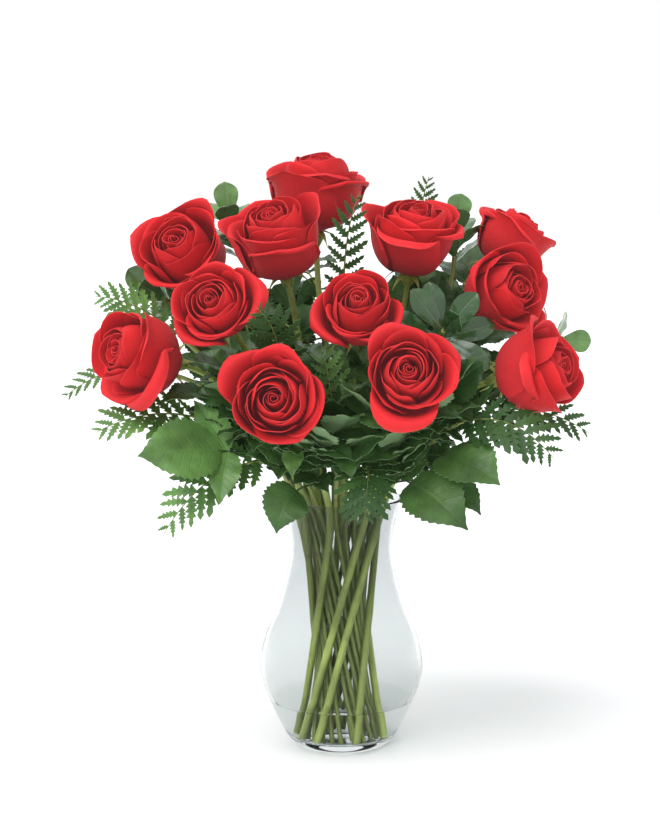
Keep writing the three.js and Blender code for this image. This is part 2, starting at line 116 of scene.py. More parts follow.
THORN_RADII = np.array([1.5, 1.05, 0.75, 0.5, 0.28, 0.08])
HIP = [(2.5, -14.5), (3.6, -12.6), (5.3, -9), (5.7, -5.8), (5.1, -2.2), (4.6, -0.3)]
HIP_DEPTH = 6.8  # from the bloom's base down to the end of its stem, inside the hip
SEPAL_REACH, SEPAL_HALF = 19.0, 2.9
SEPAL_ROOT = (3, -1.4)  # radius and height
SEPAL_BEND, SEPAL_TIP = (0.7, -1.6), (1.0, -13.0)  # share of the reach, and height

# A petal's profile follows five points [radius, height]; the first list is the innermost petal's and the
# second a fully open one's. The flare is added where an outer petal bends out. The lag is the power of
# the openness with which each value goes from closed to open.
BLOOM_MIDDLE = 26.0  # from a bloom's base to its place in ROSES
PETAL_CLOSED = np.array([(3, 8), (12, 12), (15, 31), (11, 47), (6, 55)], float)
PETAL_OPEN = np.array([(3, 0), (34, -2), (37, 25), (33, 47), (33, 54)], float)
PETAL_FLARE = np.array([(0, 0), (0, 0), (0, 0), (2, 2), (9, -7)], float)
PETAL_LAG = np.array([(1, 1), (0.8, 1), (0.8, 1), (1.3, 1), (1.6, 1)])
PETAL_GRID = (20, 19)
PETAL_THICKNESS = 0.45
FLARING_FROM = 0.6  # the share of a bloom's petals after which they flare
BLOOM_SPREAD = [1.9, 1.2, 0.9, 1.2, 1.4, 1.1, 1.0, 1.2, 1.3, 1.4, 1.0, 1.4]  # how much each bloom flares

# The rest of a petal's form, each for a closed petal and for an open one.
PETAL_DROOP, PETAL_ARCH = (0.32, 0.40), (4.0, 2.1)  # how far its outline falls at its sides, and the power
PETAL_TUCK = (0.15, 0.07)  # how much further out one edge lies than the other
PETAL_CORNER, PETAL_PINCH = 0.20, (0.7, 1.7)  # how its corners draw in and the middle of its rim stands out
PETAL_WRAP = (1.95, 1.25)  # half the angle that it goes round, in radians
LIP_START, LIP_LENGTH = (0.66, 0.58), (0.34, 0.42)  # shares of its height
LIP_ROLL, LIP_ROLL_RANGE = (0.6, 1.15), (0.35, 1.35)  # the second is its least and most by chance
LIP_OUT, LIP_DOWN = (5.0, 6.0), (4.0, 8.0)

# Waves of a petal's rim, in mm. The first two are of each petal, and what opening adds.
RIM_WAVE, HEIGHT_WAVE = (0.25, 2.2), (0.6, 2.6)
FINE_WAVE, KEEL_DEPTH = 1.1, 0.7
KEEL_WIDTH = 0.2  # against half the petal's width
PETAL_DRIFT = 3.4  # a petal's tip lies aside by up to half of this

# The rolled heart of a bloom. The radius is that of its inner end, and what its outer end adds.
HEART_GRID = (12, 64)
HEART_TURNS, HEART_TWIST, HEART_RADIUS = 2.0, 0.5, (1.5, 5.0)
HEART_FOOT, HEART_HEIGHT = 16, 36.0

# Leaves.
LEAF_THICKNESS, FROND_THICKNESS, SEPAL_THICKNESS = 0.5, 0.4, 0.6
LEAF_TEETH, TOOTH_DEPTH, LEAF_COLUMNS = 13, 0.055, 9
LEAF_ROWS = 2 * LEAF_TEETH + 1
LEAF_FOLD, LEAF_WAVE = 0.32, 0.8
STALK_SHARE, FORK_SHARE = 0.40, 0.36  # where a leaf's end leaflet begins, and where its side leaflets leave
SIDE_LENGTH, SIDE_HALF = 1.9, 0.52  # of side leaflets, against half the end leaflet's width
SIDE_SWEEP, SIDE_SAG = 0.45, 3  # how far they point along the stalk, and how far they arch
TONE_RANGE = 0.3  # tones of the leaves of one stem differ by up to this

# Roses: centre of the bloom, the way it faces, size, turn of its petals, and the ring and angle at
# which its stem passes the waist of the bundle.
ROSES = [
    ((-19, 75, 433), (0.02, -0.12, 1), 1.08, 10, "inner", 152),
    ((-49, -5, 399), (-0.2, -0.4, 0.9), 1, 60, "inner", 242),
    ((-124, 40, 386), (-0.3, -0.75, 0.55), 1, 200, "outer", 79),
    ((-93, -78, 354), (-0.25, -0.85, 0.45), 0.81, 120, "outer", 165),
    ((-152, -35, 314), (-0.8, -0.55, 0.25), 1, 30, "outer", 138),
    ((-48, -112, 290), (-0.08, -0.97, 0.2), 0.92, 250, "outer", 210),
    ((12, -78, 350), (-0.05, -0.75, 0.65), 0.8, 90, "inner", 332),
    ((47, -128, 310), (0, -0.93, 0.35), 0.86, 160, "outer", 255),
    ((56, 12, 400), (0.1, -0.35, 0.93), 1, 300, "inner", 62),
    ((136, 68, 395), (0.55, 0, 0.8), 0.85, 40, "outer", 30),
    ((123, -10, 360), (0.6, -0.75, 0.3), 0.92, 220, "outer", 338),
    ((144, -62, 305), (0.85, -0.45, 0.25), 0.98, 330, "outer", 284),
]

# Rose leaves: the rose that bears each, the height at which it leaves the stem, bend and tip of its
# midrib, the way its upper side faces, half its width, whether it has a pair of side leaflets, and its
# tone from 0 for dark to 1 for light.
ROSE_LEAVES = [
    (4, 232, (-110, -88, 254), (-151, -95, 246), (0, -1, 0.6), 25, True, 0.95),
    (4, 290, (-86, 4, 326), (-112, 20, 302), (-0.3, -0.3, 1), 15, False, 0.2),
    (5, 262, (-105, -48, 298), (-136, -60, 282), (-0.2, -0.5, 1), 16, False, 0.25),
    (6, 214, (-44, -88, 226), (-49, -90, 187), (0, -1, 0.3), 18, False, 0.45),
    (6, 258, (-38, -88, 252), (-37, -92, 230), (0, -1, 0.2), 8, False, 0.9),
    (12, 232, (82, -96, 256), (116, -105, 226), (0.2, -1, 0.8), 24, False, 0.7),
    (8, 222, (54, -110, 236), (92, -118, 195), (0.2, -1, 0.4), 23, False, 0.3),
    (12, 212, (86, -46, 228), (106, -52, 194), (0.3, -1, 0.5), 14, True, 0.4),
    (3, 270, (-78, 78, 305), (-112, 100, 275), (-0.4, 0.4, 1), 17, False, 0.3),
    (1, 260, (-28, 78, 300), (-48, 122, 275), (0, 0.5, 1), 18, False, 0.3),
    (10, 270, (88, 85, 300), (112, 118, 268), (0.3, 0.5, 1), 17, False, 0.3),
    (9, 250, (28, 60, 285), (30, 106, 262), (0.1, 0.5, 1), 17, False, 0.3),
]

# Fern fronds: start, bend and tip of the rib, the way the face looks, half the width, the angle of the
# stem in the middle ring, and the tone.
# A frond's tone follows how light it looks, so besides the fern's own colour it holds painted light and
# shade.
FRONDS = [
    ((-106, -22, 263), (-146, -42, 279), (-187, -50, 257), (0, -0.8, 1), 18, 256, 1.0),
    ((-61, -45, 234), (-103, -70, 236), (-134, -75, 184), (-0.4, -1, 0.6), 20, 273, 0.9),
    ((-148, 25, 296), (-186, 14, 304), (-218, 8, 276), (0, -0.7, 1), 11, 242, 0.7),
    ((-50, -58, 292), (-40, -96, 336), (-62, -116, 358), (0, -1, 0.2), 16, 290, 0.1),
    ((2, 12, 348), (0, 4, 400), (13, -4, 436), (0, -1, 0.3), 12, 118, 0.35),
    ((62, 60, 378), (61, 64, 420), (70, 62, 447), (0, -1, 0.2), 10, 82, 0.5),
    ((-3, -58, 250), (-8, -88, 298), (-15, -92, 328), (0, -1, 0.4), 14, 309, 0.75),
    ((99, -20, 262), (144, -30, 285), (190, -30, 254), (0, -0.8, 1), 18, 35, 0.35),
    ((86, -56, 264), (124, -86, 284), (157, -96, 244), (0.1, -1, 0.7), 20, 358, 0.15),
    ((20, -62, 232), (20, -98, 236), (16, -96, 196), (0, -1, 0.6), 18, 324, 0.2),
    ((-128, 36, 322), (-160, 32, 352), (-194, 30, 354), (0, -1, 0.5), 14, 218, 1.0),
    ((-54, 74, 258), (-88, 128, 272), (-104, 154, 228), (-0.3, 0.5, 1), 17, 170, 0.4),
    ((56, 78, 256), (90, 130, 270), (108, 156, 226), (0.3, 0.5, 1), 17, 101, 0.4),
    ((5, 85, 300), (8, 140, 325), (10, 170, 290), (0, 0.6, 1), 18, 136, 0.4),
]
FROND_PAIRS = 9
FROND_LEAFLET_LENGTH, FROND_LEAFLET_LEAST = 1.35, 3.5  # against half the frond's width, and in mm
LEAFLET_LOBES = 5
LEAFLET_WIDTH = 0.21  # half a frond leaflet's width against its length
LEAFLET_NOTCH = 0.42  # width left at its notches, against its lobes

# Leafy stems: end of the stem, the way it points, how far its leaves open, their length and half
# width, how many the solid has, the stem's angle in the middle ring, and the tone.
LEAFY_STEMS = [
    ((-90, 80, 410), (-0.3, 0, 1), 0.9, 38, 10, 6, 187, 1.0),
    ((-146, 60, 352), (-1, 0, 0.6), 0.8, 38, 10, 5, 204, 0.65),
    ((92, 72, 404), (0, 0.1, 1), 0.75, 36, 10, 5, 65, 0.9),
    ((76, -62, 336), (0.1, -1, 0.4), 1.25, 46, 9.5, 6, 341, 0.0),
    ((168, 12, 320), (1, -0.1, 0.2), 1.1, 34, 9, 5, 50, 0.8),
    ((92, -22, 304), (0.3, -0.6, 0.8), 1.1, 28, 9, 5, 16, 0.0),
    ((-40, 105, 350), (-0.2, 0.8, 0.7), 1.0, 34, 9, 6, 153, 0.2),
]
MORE_LEAVES = 4  # leaves on a leafy stem beyond the solid's
SPIRAL_STEP = 3.2  # from one leaf's root down to the next

# The rest of the roses' foliage. It keeps to a box and to a cone round the axis, and off the blooms.
BLOOM_AT = np.array([rose[0] for rose in ROSES], float)
BLOOM_SIZE = np.array([rose[2] for rose in ROSES])
BLOOM_WAY = np.array([rose[1] for rose in ROSES], float)
BLOOM_WAY = BLOOM_WAY / np.linalg.norm(BLOOM_WAY, axis=1, keepdims=True)
BLOOM_AHEAD = 2  # the middle of a bloom's petals lies this far ahead of its place
BLOOM_REACH = 37.0  # from there to the petals' tips of a bloom of size 1
BLOOM_SHIELD = 0.95  # the share of that reach within which no leaf hangs in front of a bloom
FOLIAGE_LOW, FOLIAGE_HIGH = np.array([-196, -136, 192]), np.array([172, 158, 425])
FOLIAGE_CONE = (70.0, 0.62)  # how far out it reaches at its lowest, and how much further with height
FOLIAGE_DRAWN, FOLIAGE_PER_STEM = 160, 13
FOLIAGE_FROM, FOLIAGE_UNDER_BLOOM = 212, 45  # the lowest leaf's height, and the highest's under its hip
FOLIAGE_GAP = 20  # least distance between the ends of two leaves
FOLIAGE_LENGTH, FOLIAGE_SAG = (55, 92), 6

# The five leaflets of a leaf there: where on the stalk each starts, its side, and its length against the
# leaf's. The last one goes on from the stalk.
LEAFLET_STARTS = np.array([0.62, 0.62, 0.9, 0.9, 1.0])
LEAFLET_SIDES = np.array([-1, 1, -1, 1, 0])
LEAFLET_SIZES = np.array([0.32, 0.32, 0.44, 0.44, 0.58])
LEAFLET_HALF = 0.34  # half its width against its length

# The studio, in metres, but with the floor's level and the camera's sensor in mm.
FLOOR_RINGS, FLOOR_SIDES, FLOOR_LEVEL = (0.4, 1.2, 3, 9), 96, -0.3
KEY_PLACE, KEY_TARGET = (-1.1, -1.2, 2.7), (0, 0, 0.2)
CAMERA_PLACE, CAMERA_TARGET = (-0.009, -1.7, 0.5), (-0.009, 0, 0.27)
CAMERA_SENSOR, CAMERA_FAR = 36, 50

# ---------------------------------------------------------------- vectors and curves


def unit(v):
    """v over its length."""
    v = np.asarray(v, float)
    return v / np.maximum(np.linalg.norm(v, axis=-1, keepdims=True), 1e-9)


def mix(a, b, share):
    """a + (b - a) times share."""
    return a + (b - a) * share


def ease(x, low, high):
    """t squared times (3 - 2 t), with t the share of the way from low to high, kept from 0 to 1."""
    t = np.clip((x - low) / (high - low), 0, 1)
    return t * t * (3 - 2 * t)


def jitter(rng, *shape):
    """Random numbers from -0.5 to 0.5."""
    return rng.random(shape) - 0.5


def turn_from_up(way):
    """The matrix of the shortest turn that carries +Z to way: I + K + K K / (1 + cosine)."""
    way = unit(way)
    x, y, z = np.cross(UP, way)
    k = np.array([[0, -z, y], [z, 0, -x], [-y, x, 0]])
    return np.eye(3) + k + k @ k / (1 + way[2])


def bernstein(share, count):
    """The count weights of a Bezier curve at each share: C(n, k) s^k (1 - s)^(n - k)."""
    n = count - 1
    return np.stack([math.comb(n, k) * share**k * (1 - share) ** (n - k) for k in range(count)], -1)


def bezier(points, share):
    """The Bezier curve of the points at each share."""
    return bernstein(np.asarray(share, float), len(points)) @ np.asarray(points, float)


def beziers(points, share):
    """Many Bezier curves from points (point, curve, 3), as (curve, share, 3)."""
    return np.einsum("rk,kni->nri", bernstein(share, len(points)), np.array(points))


def smooth_line(points, steps):
    """A Catmull-Rom line through the points, with steps places from each one to the next: the cubic
    whose slope at a point is half the way from the point before it to the one after it."""
    p = np.asarray(points, float)
    p = np.vstack([2 * p[0] - p[1], p, 2 * p[-1] - p[-2]])
    t = np.linspace(0, 1, steps, endpoint=False)[None, :, None]
    a, b, c, d = (p[k : len(p) - 3 + k, None, :] for k in range(4))
    line = 0.5 * (2 * b + (c - a) * t + (2 * a - 5 * b + 4 * c - d) * t**2 + (3 * b - a - 3 * c + d) * t**3)
    return np.vstack([line.reshape(-1, p.shape[1]), p[-2]])


def round_angles(sides):
    """The angles of the places round a ring."""
    return np.arange(sides) * 2 * math.pi / sides


def rings_about_up(profile, sides):
    """Rings about +Z: (r cos a, r sin a, z) for each profile point."""
    r, z = np.asarray(profile, float).T[:, :, None]
    a = round_angles(sides)
    return np.stack([r * np.cos(a), r * np.sin(a), np.repeat(z, sides, 1)], -1)


# ---------------------------------------------------------------- meshes


class Form:
    """Vertices, faces and per-vertex values of one piece, gathered surface by surface. uv runs across
    and along each surface, tint is one random number for each blade, under is 1 on the underside of a
    blade, and skin is the number of the material that surfaces added from then on have."""

    def __init__(self):
        self.places, self.faces, self.uv, self.tint, self.under, self.skins = [], [], [], [], [], []
        self.count, self.skin = 0, 0

    def add(self, places, faces, uv, tint, under):
        """Adds a surface from its points and from arrays of its faces."""
        places = np.asarray(places, float).reshape(-1, 3)
        self.places.append(places)
        self.faces.extend((np.asarray(f) + self.count).tolist() for f in faces)
        self.skins.append(np.full(sum(len(f) for f in faces), self.skin, np.int32))
        self.uv.append(uv.reshape(-1, 2))
        self.tint.append(np.broadcast_to(tint, len(places)))
        self.under.append(np.broadcast_to(under, len(places)))
        self.count += len(places)

    def piece(self, name, *materials, sharp=50.0):
        """The mesh object in metres, smooth except where faces meet at more than the sharp angle."""
        mesh = bpy.data.meshes.new(name)
        places = np.concatenate(self.places) * MM
        mesh.from_pydata(places, [], [face for part in self.faces for face in part])
        corners = np.empty(len(mesh.loops), np.int32)
        mesh.loops.foreach_get("vertex_index", corners)
        layer = mesh.uv_layers.new(name="UVMap")
        layer.uv.foreach_set("vector", np.concatenate(self.uv)[corners].astype(np.float32).ravel())
        for key, values in (("tint", self.tint), ("under", self.under)):
            made = mesh.attributes.new(key, "FLOAT", "POINT")
            made.data.foreach_set("value", np.concatenate(values).astype(np.float32))
        mesh.shade_smooth()
        mesh.set_sharp_from_angle(angle=math.radians(sharp))
        for material in materials:
            mesh.materials.append(material)
        mesh.polygons.foreach_set("material_index", np.concatenate(self.skins))
        made = bpy.data.objects.new(name, mesh)
        bpy.context.scene.collection.objects.link(made)
        return made


def grid_faces(rows, columns):
    """Quads of a grid of points, seen from the side that across x along points to."""
    at = np.arange(rows * columns).reshape(rows, columns)
    return np.stack([at[:-1, :-1], at[:-1, 1:], at[1:, 1:], at[1:, :-1]], -1).reshape(-1, 4)


def shells(form, points, thickness, tint):
    """Thin closed blades from sheets of points (sheet, row, column, 3): each sheet is moved half its
    thickness both ways along its normal, across x along, and closed by a strip round its edge."""
    sheets, rows, columns, _ = points.shape
    across, along = np.gradient(points, axis=2), np.gradient(points, axis=1)
    offset = unit(np.cross(across, along)) * thickness / 2
    size = rows * columns
    both = np.stack([points + offset, points - offset], 1).reshape(sheets, 2 * size, 3)
    front = grid_faces(rows, columns)
    at = np.arange(size).reshape(rows, columns)
    edge = np.concatenate([at[0, :-1], at[:-1, -1], at[-1, :0:-1], at[:0:-1, 0]])
    after = np.roll(edge, -1)
    rim = np.stack([after, edge, edge + size, after + size], -1)
    one = np.concatenate([front, front[:, ::-1] + size, rim])
    faces = one[None] + (np.arange(sheets) * 2 * size)[:, None, None]
    u, v = np.meshgrid(np.linspace(0, 1, columns), np.linspace(0, 1, rows))
    uv = np.broadcast_to(np.stack([u, v], -1).reshape(1, 1, size, 2), (sheets, 2, size, 2))
    under = np.broadcast_to(np.repeat([0.0, 1.0], size), (sheets, 2 * size)).ravel()
    form.add(both, [faces.reshape(-1, 4)], uv, np.repeat(tint, 2 * size), under)


def capped(form, rings, tint=0.0):
    """A closed body from rings of points (ring, place round it, 3), with a point in the middle of
    both ends. Its faces are turned about where its signed volume comes out below zero."""
    rows, sides, _ = rings.shape
    at = np.arange(rows * sides).reshape(rows, sides)
    beside = np.roll(at, -1, axis=1)
    wall = np.stack([at[:-1], beside[:-1], beside[1:], at[1:]], -1).reshape(-1, 4)
    low, high = rows * sides, rows * sides + 1
    ends = np.concatenate([
        np.stack([beside[0], at[0], np.full(sides, low)], -1),
        np.stack([at[-1], beside[-1], np.full(sides, high)], -1),
    ])
    places = np.vstack([rings.reshape(-1, 3), rings[0].mean(0), rings[-1].mean(0)])
    corner = places[wall] - places.mean(0)
    volume = np.einsum("ij,ij->i", corner[:, 0], np.cross(corner[:, 1], corner[:, 2])).sum()
    if volume < 0:
        wall, ends = wall[:, ::-1], ends[:, ::-1]
    u, v = np.meshgrid(np.linspace(0, 1, sides), np.linspace(0, 1, rows))
    uv = np.vstack([np.stack([u, v], -1).reshape(-1, 2), [[0.5, 0], [0.5, 1]]])
    form.add(places, [wall, ends], uv, tint, 0.0)


def tube(form, line, radius, sides, tint=0.0):
    """A round rod along a line: centre + radius (side cos a + normal sin a), where side is the cross of
    the line's way and the axis that it is least in line with."""
    way = unit(np.gradient(line, axis=0))
    least = np.argmin(np.abs(way).max(0))
    side = unit(np.cross(way, np.eye(3)[least]))
    normal = np.cross(side, way)
    a = round_angles(sides)
    spoke = side[:, None] * np.cos(a)[None, :, None] + normal[:, None] * np.sin(a)[None, :, None]
    rings = line[:, None] + spoke * np.broadcast_to(radius, len(line))[:, None, None]
    capped(form, rings, tint)


def blades(form, ribs, up, half, thickness, fold, columns, tint, wave=0.0):
    """Leaf blades along ribs (blade, row, 3): rib + side * half * across + normal * lift, where the lift
    is fold half (|across| - 0.45 across^2) plus a wave along each margin, of 19 radians from root to tip,
    begun at another place on each hand and blade."""
    way = unit(np.gradient(ribs, axis=1))
    side = unit(np.cross(way, np.asarray(up, float)[:, None, :]))
    normal = np.cross(side, way)
    across = np.linspace(-1, 1, columns)[None, None, :, None]
    width = half[:, :, None, None]
    rise = np.linspace(0, 1, ribs.shape[1])[None, :, None, None]
    lift = fold * width * (np.abs(across) - 0.45 * across**2)
    lift = lift + wave * np.sin(rise * 19 + 2.2 * np.sign(across) + 7 * tint[:, None, None, None]) * across**2
    flat = ribs[:, :, None] + side[:, :, None] * across * width
    shells(form, flat + normal[:, :, None] * lift, thickness, tint)


# ---------------------------------------------------------------- stems, petals and leaves


def standing(ring, waist, height):
    """Where a stem's axis passes a height in the vase: r (cos a, sin a) plus the lean across it."""
    radius, slope = RINGS[ring]
    a, lean = math.radians(waist), (height - WAIST_HEIGHT) * slope
    x = radius * math.cos(a) - lean * math.sin(a)
    y = radius * math.sin(a) + lean * math.cos(a)
    return np.array([x, y, height])


def stem_line(ring, waist, radius, end, way, steps=40):
    """A stem's axis: straight from the vase's floor to the neck, then one cubic Bezier to its end."""
    slope = RINGS[ring][1]
    foot = standing(ring, waist, STEM_FOOT + radius * abs(slope) / math.hypot(1, slope))
    neck = standing(ring, waist, NECK_HEIGHT)
    reach = np.linalg.norm(end - neck)
    handles = [neck + unit(neck - foot) * STEM_BENDS[0] * reach, end - way * STEM_BENDS[1] * reach]
    bend = bezier([neck, *handles, end], np.linspace(0, 1, steps))
    straight = mix(foot, neck, np.linspace(0, 1, STRAIGHT_PLACES, endpoint=False)[:, None])
    return np.vstack([straight, bend])


def rose_frame(rose):
    """Where the bloom's base lies, the turn that carries +Z to the way the rose faces, and that way."""
    at, faces, size = rose[:3]
    way = unit(faces)
    return np.array(at, float) - way * BLOOM_MIDDLE * size, turn_from_up(way), way


def rose_line(rose):
    """The axis of a rose's stem, up to inside its hip."""
    base, _, way = rose_frame(rose)
    return stem_line(rose[4], rose[5], ROSE_STEM_RADIUS, base - way * HIP_DEPTH, way)


def petal_sheets(openness, flares, azimuth, rng):
    """Sheets of petals about +Z. A petal's point has radius and height from a five-point Bezier profile
    between the closed and the open one, bent out by its flare, taken at s = rise (1 - droop |lean|^arch),
    so the outline is an arch. The lean is the place across, with its middle moved to one hand. The angle
    is azimuth + side * wrap, narrower towards the root. One edge lies further out than the other, so the
    petals tuck behind each other. Corners draw in and the middle stands out by corner pinch rise^2 (0.38 -
    |lean|), which leaves a point there. The lip rolls outwards by the sine of its curl and down by 1 less
    the cosine. Waves run round the rim, and an open petal has a keel down its middle."""
    rows, columns = PETAL_GRID
    o = openness[:, None, None]
    open_share = np.clip(o, 0, 1)
    flare = flares[:, None, None]
    side = np.linspace(-1, 1, columns)[None, None, :]
    rise = (np.linspace(0, 1, rows) ** 0.85)[None, :, None]
    fall, rolls, waves, start, lift_start, width, tilt, fine_waves = rng.random((8, len(openness), 1, 1))

    lean = side + 0.7 * (tilt - 0.5) * (1 - side**2)
    reach = np.abs(lean)
    droop = mix(*PETAL_DROOP, open_share) + 0.10 * (fall - 0.5)
    s = rise * (1 - droop * reach ** mix(*PETAL_ARCH, open_share))
    shape = mix(PETAL_CLOSED, PETAL_OPEN, np.clip(o, 0, 1.2) ** PETAL_LAG) + PETAL_FLARE * flare
    profile = np.einsum("njik,nkc->njic", bernstein(s, 5), shape)
    radius, height = profile[..., 0], profile[..., 1]
    radius = radius * mix(0.5, 1, ease(o, 0, 0.3)) * (1 + mix(*PETAL_TUCK, open_share) * side)
    radius = radius * (1 + PETAL_CORNER * mix(*PETAL_PINCH, open_share) * rise**2 * (0.38 - reach))

    lip = np.clip((s - mix(*LIP_START, open_share)) / mix(*LIP_LENGTH, open_share), 0, 1) ** 1.4
    roll = lip * mix(0.75, 0.65 + 0.8 * reach**0.9, open_share) + 0.5 * rise**3 * reach**5
    roll = roll * mix(*LIP_ROLL, open_share) * mix(*LIP_ROLL_RANGE, rolls) * (1 + 0.8 * flare)
    curl = np.minimum(roll * 1.8, 2.6)
    radius = radius + mix(*LIP_OUT, open_share) * np.sin(curl)
    height = height - mix(*LIP_DOWN, open_share) * (1 - np.cos(curl))

    ripple = np.sin(side * mix(1.6, 3.0, waves) + ANY_PHASE * start)
    fine = np.sin(side * mix(6, 10, fine_waves) + ANY_PHASE * fall)
    radius = radius + (RIM_WAVE[0] + RIM_WAVE[1] * open_share) * rise**3 * ripple
    radius = radius + FINE_WAVE * open_share * rise**5 * fine
    lift = np.cos(side * 3.2 + ANY_PHASE * lift_start)
    height = height + (HEIGHT_WAVE[0] + HEIGHT_WAVE[1] * open_share) * rise**4 * lift
    radius = radius - KEEL_DEPTH * np.exp(-((lean / KEEL_WIDTH) ** 2)) * rise * open_share

    wrap = mix(*PETAL_WRAP, ease(o, 0, 0.6)) * mix(0.92, 1.08, width)
    wrap = wrap * (0.55 + 0.45 * np.minimum(1, 1.6 * rise)) * (1 - 0.2 * open_share * rise**2 * reach**2)
    angle = azimuth[:, None, None] + side * wrap
    height = np.broadcast_to(height, radius.shape)
    return np.stack([radius * np.cos(angle), radius * np.sin(angle), height], -1)


def heart_sheet():
    """The rolled middle of the bloom: a ribbon wound twice, its radius growing with the turn, drawn in at
    the top and bottom, with a hollow left in its middle."""
    rows, columns = HEART_GRID
    wind = np.linspace(0, 1, columns)[None, :]
    rise = np.linspace(0, 1, rows)[:, None]
    inner, added = HEART_RADIUS
    radius = (inner + added * wind) * (0.35 + 0.9 * np.sin(math.pi * (0.12 + 0.70 * rise)))
    angle = wind * HEART_TURNS * 2 * math.pi + HEART_TWIST * rise
    radius = radius * (1 + 0.10 * np.cos(3 * angle) + 0.06 * np.cos(2 * angle + 1))
    height = HEART_FOOT + rise * (HEART_HEIGHT - 2.5 * wind + 1.2 * np.sin(wind * 11))
    return np.stack([radius * np.cos(angle), radius * np.sin(angle), height], -1)[None]


def bloom_form(rose, spread, petal_count, seed):
    """One bloom: the rolled heart and petals a golden angle apart, each more open than the last."""
    size, turn = rose[2:4]
    base, turning, _ = rose_frame(rose)
    rng = np.random.default_rng(seed)
    order = (np.arange(petal_count) + 0.5) / petal_count
    openness = 0.04 + 0.97 * order**1.1 + 0.03 * jitter(rng, petal_count)
    azimuth = math.radians(turn) + np.arange(petal_count) * GOLDEN_TURN
    azimuth = azimuth + 0.35 * jitter(rng, petal_count)
    form = Form()

    def placed(sheets):
        return (sheets * size) @ turning.T + base

    shells(form, placed(heart_sheet()), PETAL_THICKNESS, np.array([rng.random()]))
    bent = rng.permutation(np.linspace(0, 1, petal_count)) ** 1.5
    sheets = petal_sheets(openness, np.where(order > FLARING_FROM, bent, 0) * spread, azimuth, rng)
    rise = np.linspace(0, 1, PETAL_GRID[0])[None, :, None, None]
    sheets = sheets + rise * PETAL_DRIFT * jitter(rng, petal_count, 1, 1, 3)
    shells(form, placed(sheets), PETAL_THICKNESS, rng.random(petal_count))
    return form


def ovate(x):
    """Half width of a rose leaf at a share of its length, against its widest: sin(pi x^0.75) to a power
    that grows from 0.7 to 1.2 along it, which draws the tip out."""
    return np.sin(math.pi * np.clip(x, 0, 1) ** 0.75) ** (0.7 + 0.5 * x)


def obovate(x):
    """Half width of a glossy leaf against its widest, which lies past the middle: sin(pi x^1.4)^0.7,
    with a slim stalk."""
    return np.maximum(np.sin(math.pi * np.clip(x, 0, 1) ** 1.4) ** 0.7, 0.07)


def toothed(rows):
    """The saw of a leaf's margin: every other row is a tooth's tip, and the rest are notches."""
    return 1 + TOOTH_DEPTH * (-1.0) ** (np.arange(rows) + 1)


def about(tone, count, rng):
    """Tints of count leaves about a tone."""
    return np.clip(tone + TONE_RANGE * jitter(rng, count), 0, 1)


def leaflet(form, ribs, up, half, tone, rng):
    """Rose leaflets along ribs (leaflet, row, 3): egg-shaped, toothed, folded at the midrib."""
    rows = ribs.shape[1]
    width = np.maximum(np.asarray(half)[:, None] * ovate(np.linspace(0, 1, rows)) * toothed(rows), 0.25)
    tints = about(tone, len(ribs), rng)
    blades(form, ribs, up, width, LEAF_THICKNESS, LEAF_FOLD, LEAF_COLUMNS, tints, wave=LEAF_WAVE)


def rose_leaf(form, root, bend, tip, up, half, pair, tone, rng):
    """A rose leaf: a stalk and an end leaflet on one quadratic arc, and where asked a pair of side
    leaflets that leave the stalk before its end."""
    arc, up = np.array([root, bend, tip], float), unit(up)
    stalk = bezier(arc, np.linspace(0, STALK_SHARE + 0.02, 8))
    tube(form, stalk, np.linspace(1.0, 0.7, 8), STALK_SIDES)
    end = bezier(arc, np.linspace(STALK_SHARE, 1, LEAF_ROWS))
    leaflet(form, end[None], up[None], [half], tone, rng)
    if not pair:
        return
    fork = bezier(arc, FORK_SHARE)
    along = unit(bezier(arc, FORK_SHARE + 0.02) - fork)
    side = unit(np.cross(along, up))
    length = half * SIDE_LENGTH
    ribs = []
    for hand in (-1, 1):
        out = unit(along * SIDE_SWEEP + side * hand)
        bends = [fork, fork + out * length / 2 + up * SIDE_SAG, fork + out * length - up * SIDE_SAG]
        ribs.append(bezier(bends, np.linspace(0, 1, LEAF_ROWS)))
    leaflet(form, np.array(ribs), np.array([up, up]), [half * SIDE_HALF] * 2, tone, rng)


def sepals(form, rose, rng):
    """Five slim pointed sepals on quadratic arcs from under the bloom, bent back down."""
    base, turning, way = rose_frame(rose)
    a = math.radians(rose[3]) + round_angles(5)
    spoke = np.stack([np.cos(a), np.sin(a), np.zeros(5)], -1)
    reach = SEPAL_REACH * mix(0.95, 1.05, rng.random((5, 1)))
    bends = [spoke * SEPAL_ROOT[0] + UP * SEPAL_ROOT[1]]
    bends += [spoke * reach * out + UP * rise for out, rise in (SEPAL_BEND, SEPAL_TIP)]
    share = np.linspace(0, 1, 15)
    ribs = beziers(bends, share) @ turning.T + base
    width = SEPAL_HALF * np.maximum((1 - share) ** 0.75 * (0.8 + 0.35 * np.sin(share * 5)), 0.06)
    widths = np.repeat(width[None], 5, 0)
    blades(form, ribs, np.repeat(way[None], 5, 0), widths, SEPAL_THICKNESS, -0.35, 5, rng.random(5))


def thorns(form, line, rng):
    """A few short curved thorns: cones whose tip lies 5 mm out from the stem and a little down."""
    for pick in ((THORNS + 0.06 * rng.random(3)) * len(line)).astype(int):
        way = unit(line[pick + 1] - line[pick - 1])
        out = unit(np.cross(way, unit(jitter(rng, 3))))
        root = line[pick] + out * (ROSE_STEM_RADIUS * 0.75)
        arc = bezier([root, root + out * 2.4, root + out * 4.6 - way * 1.6], np.linspace(0, 1, 6))
        tube(form, arc, THORN_RADII, STALK_SIDES, 0.8)


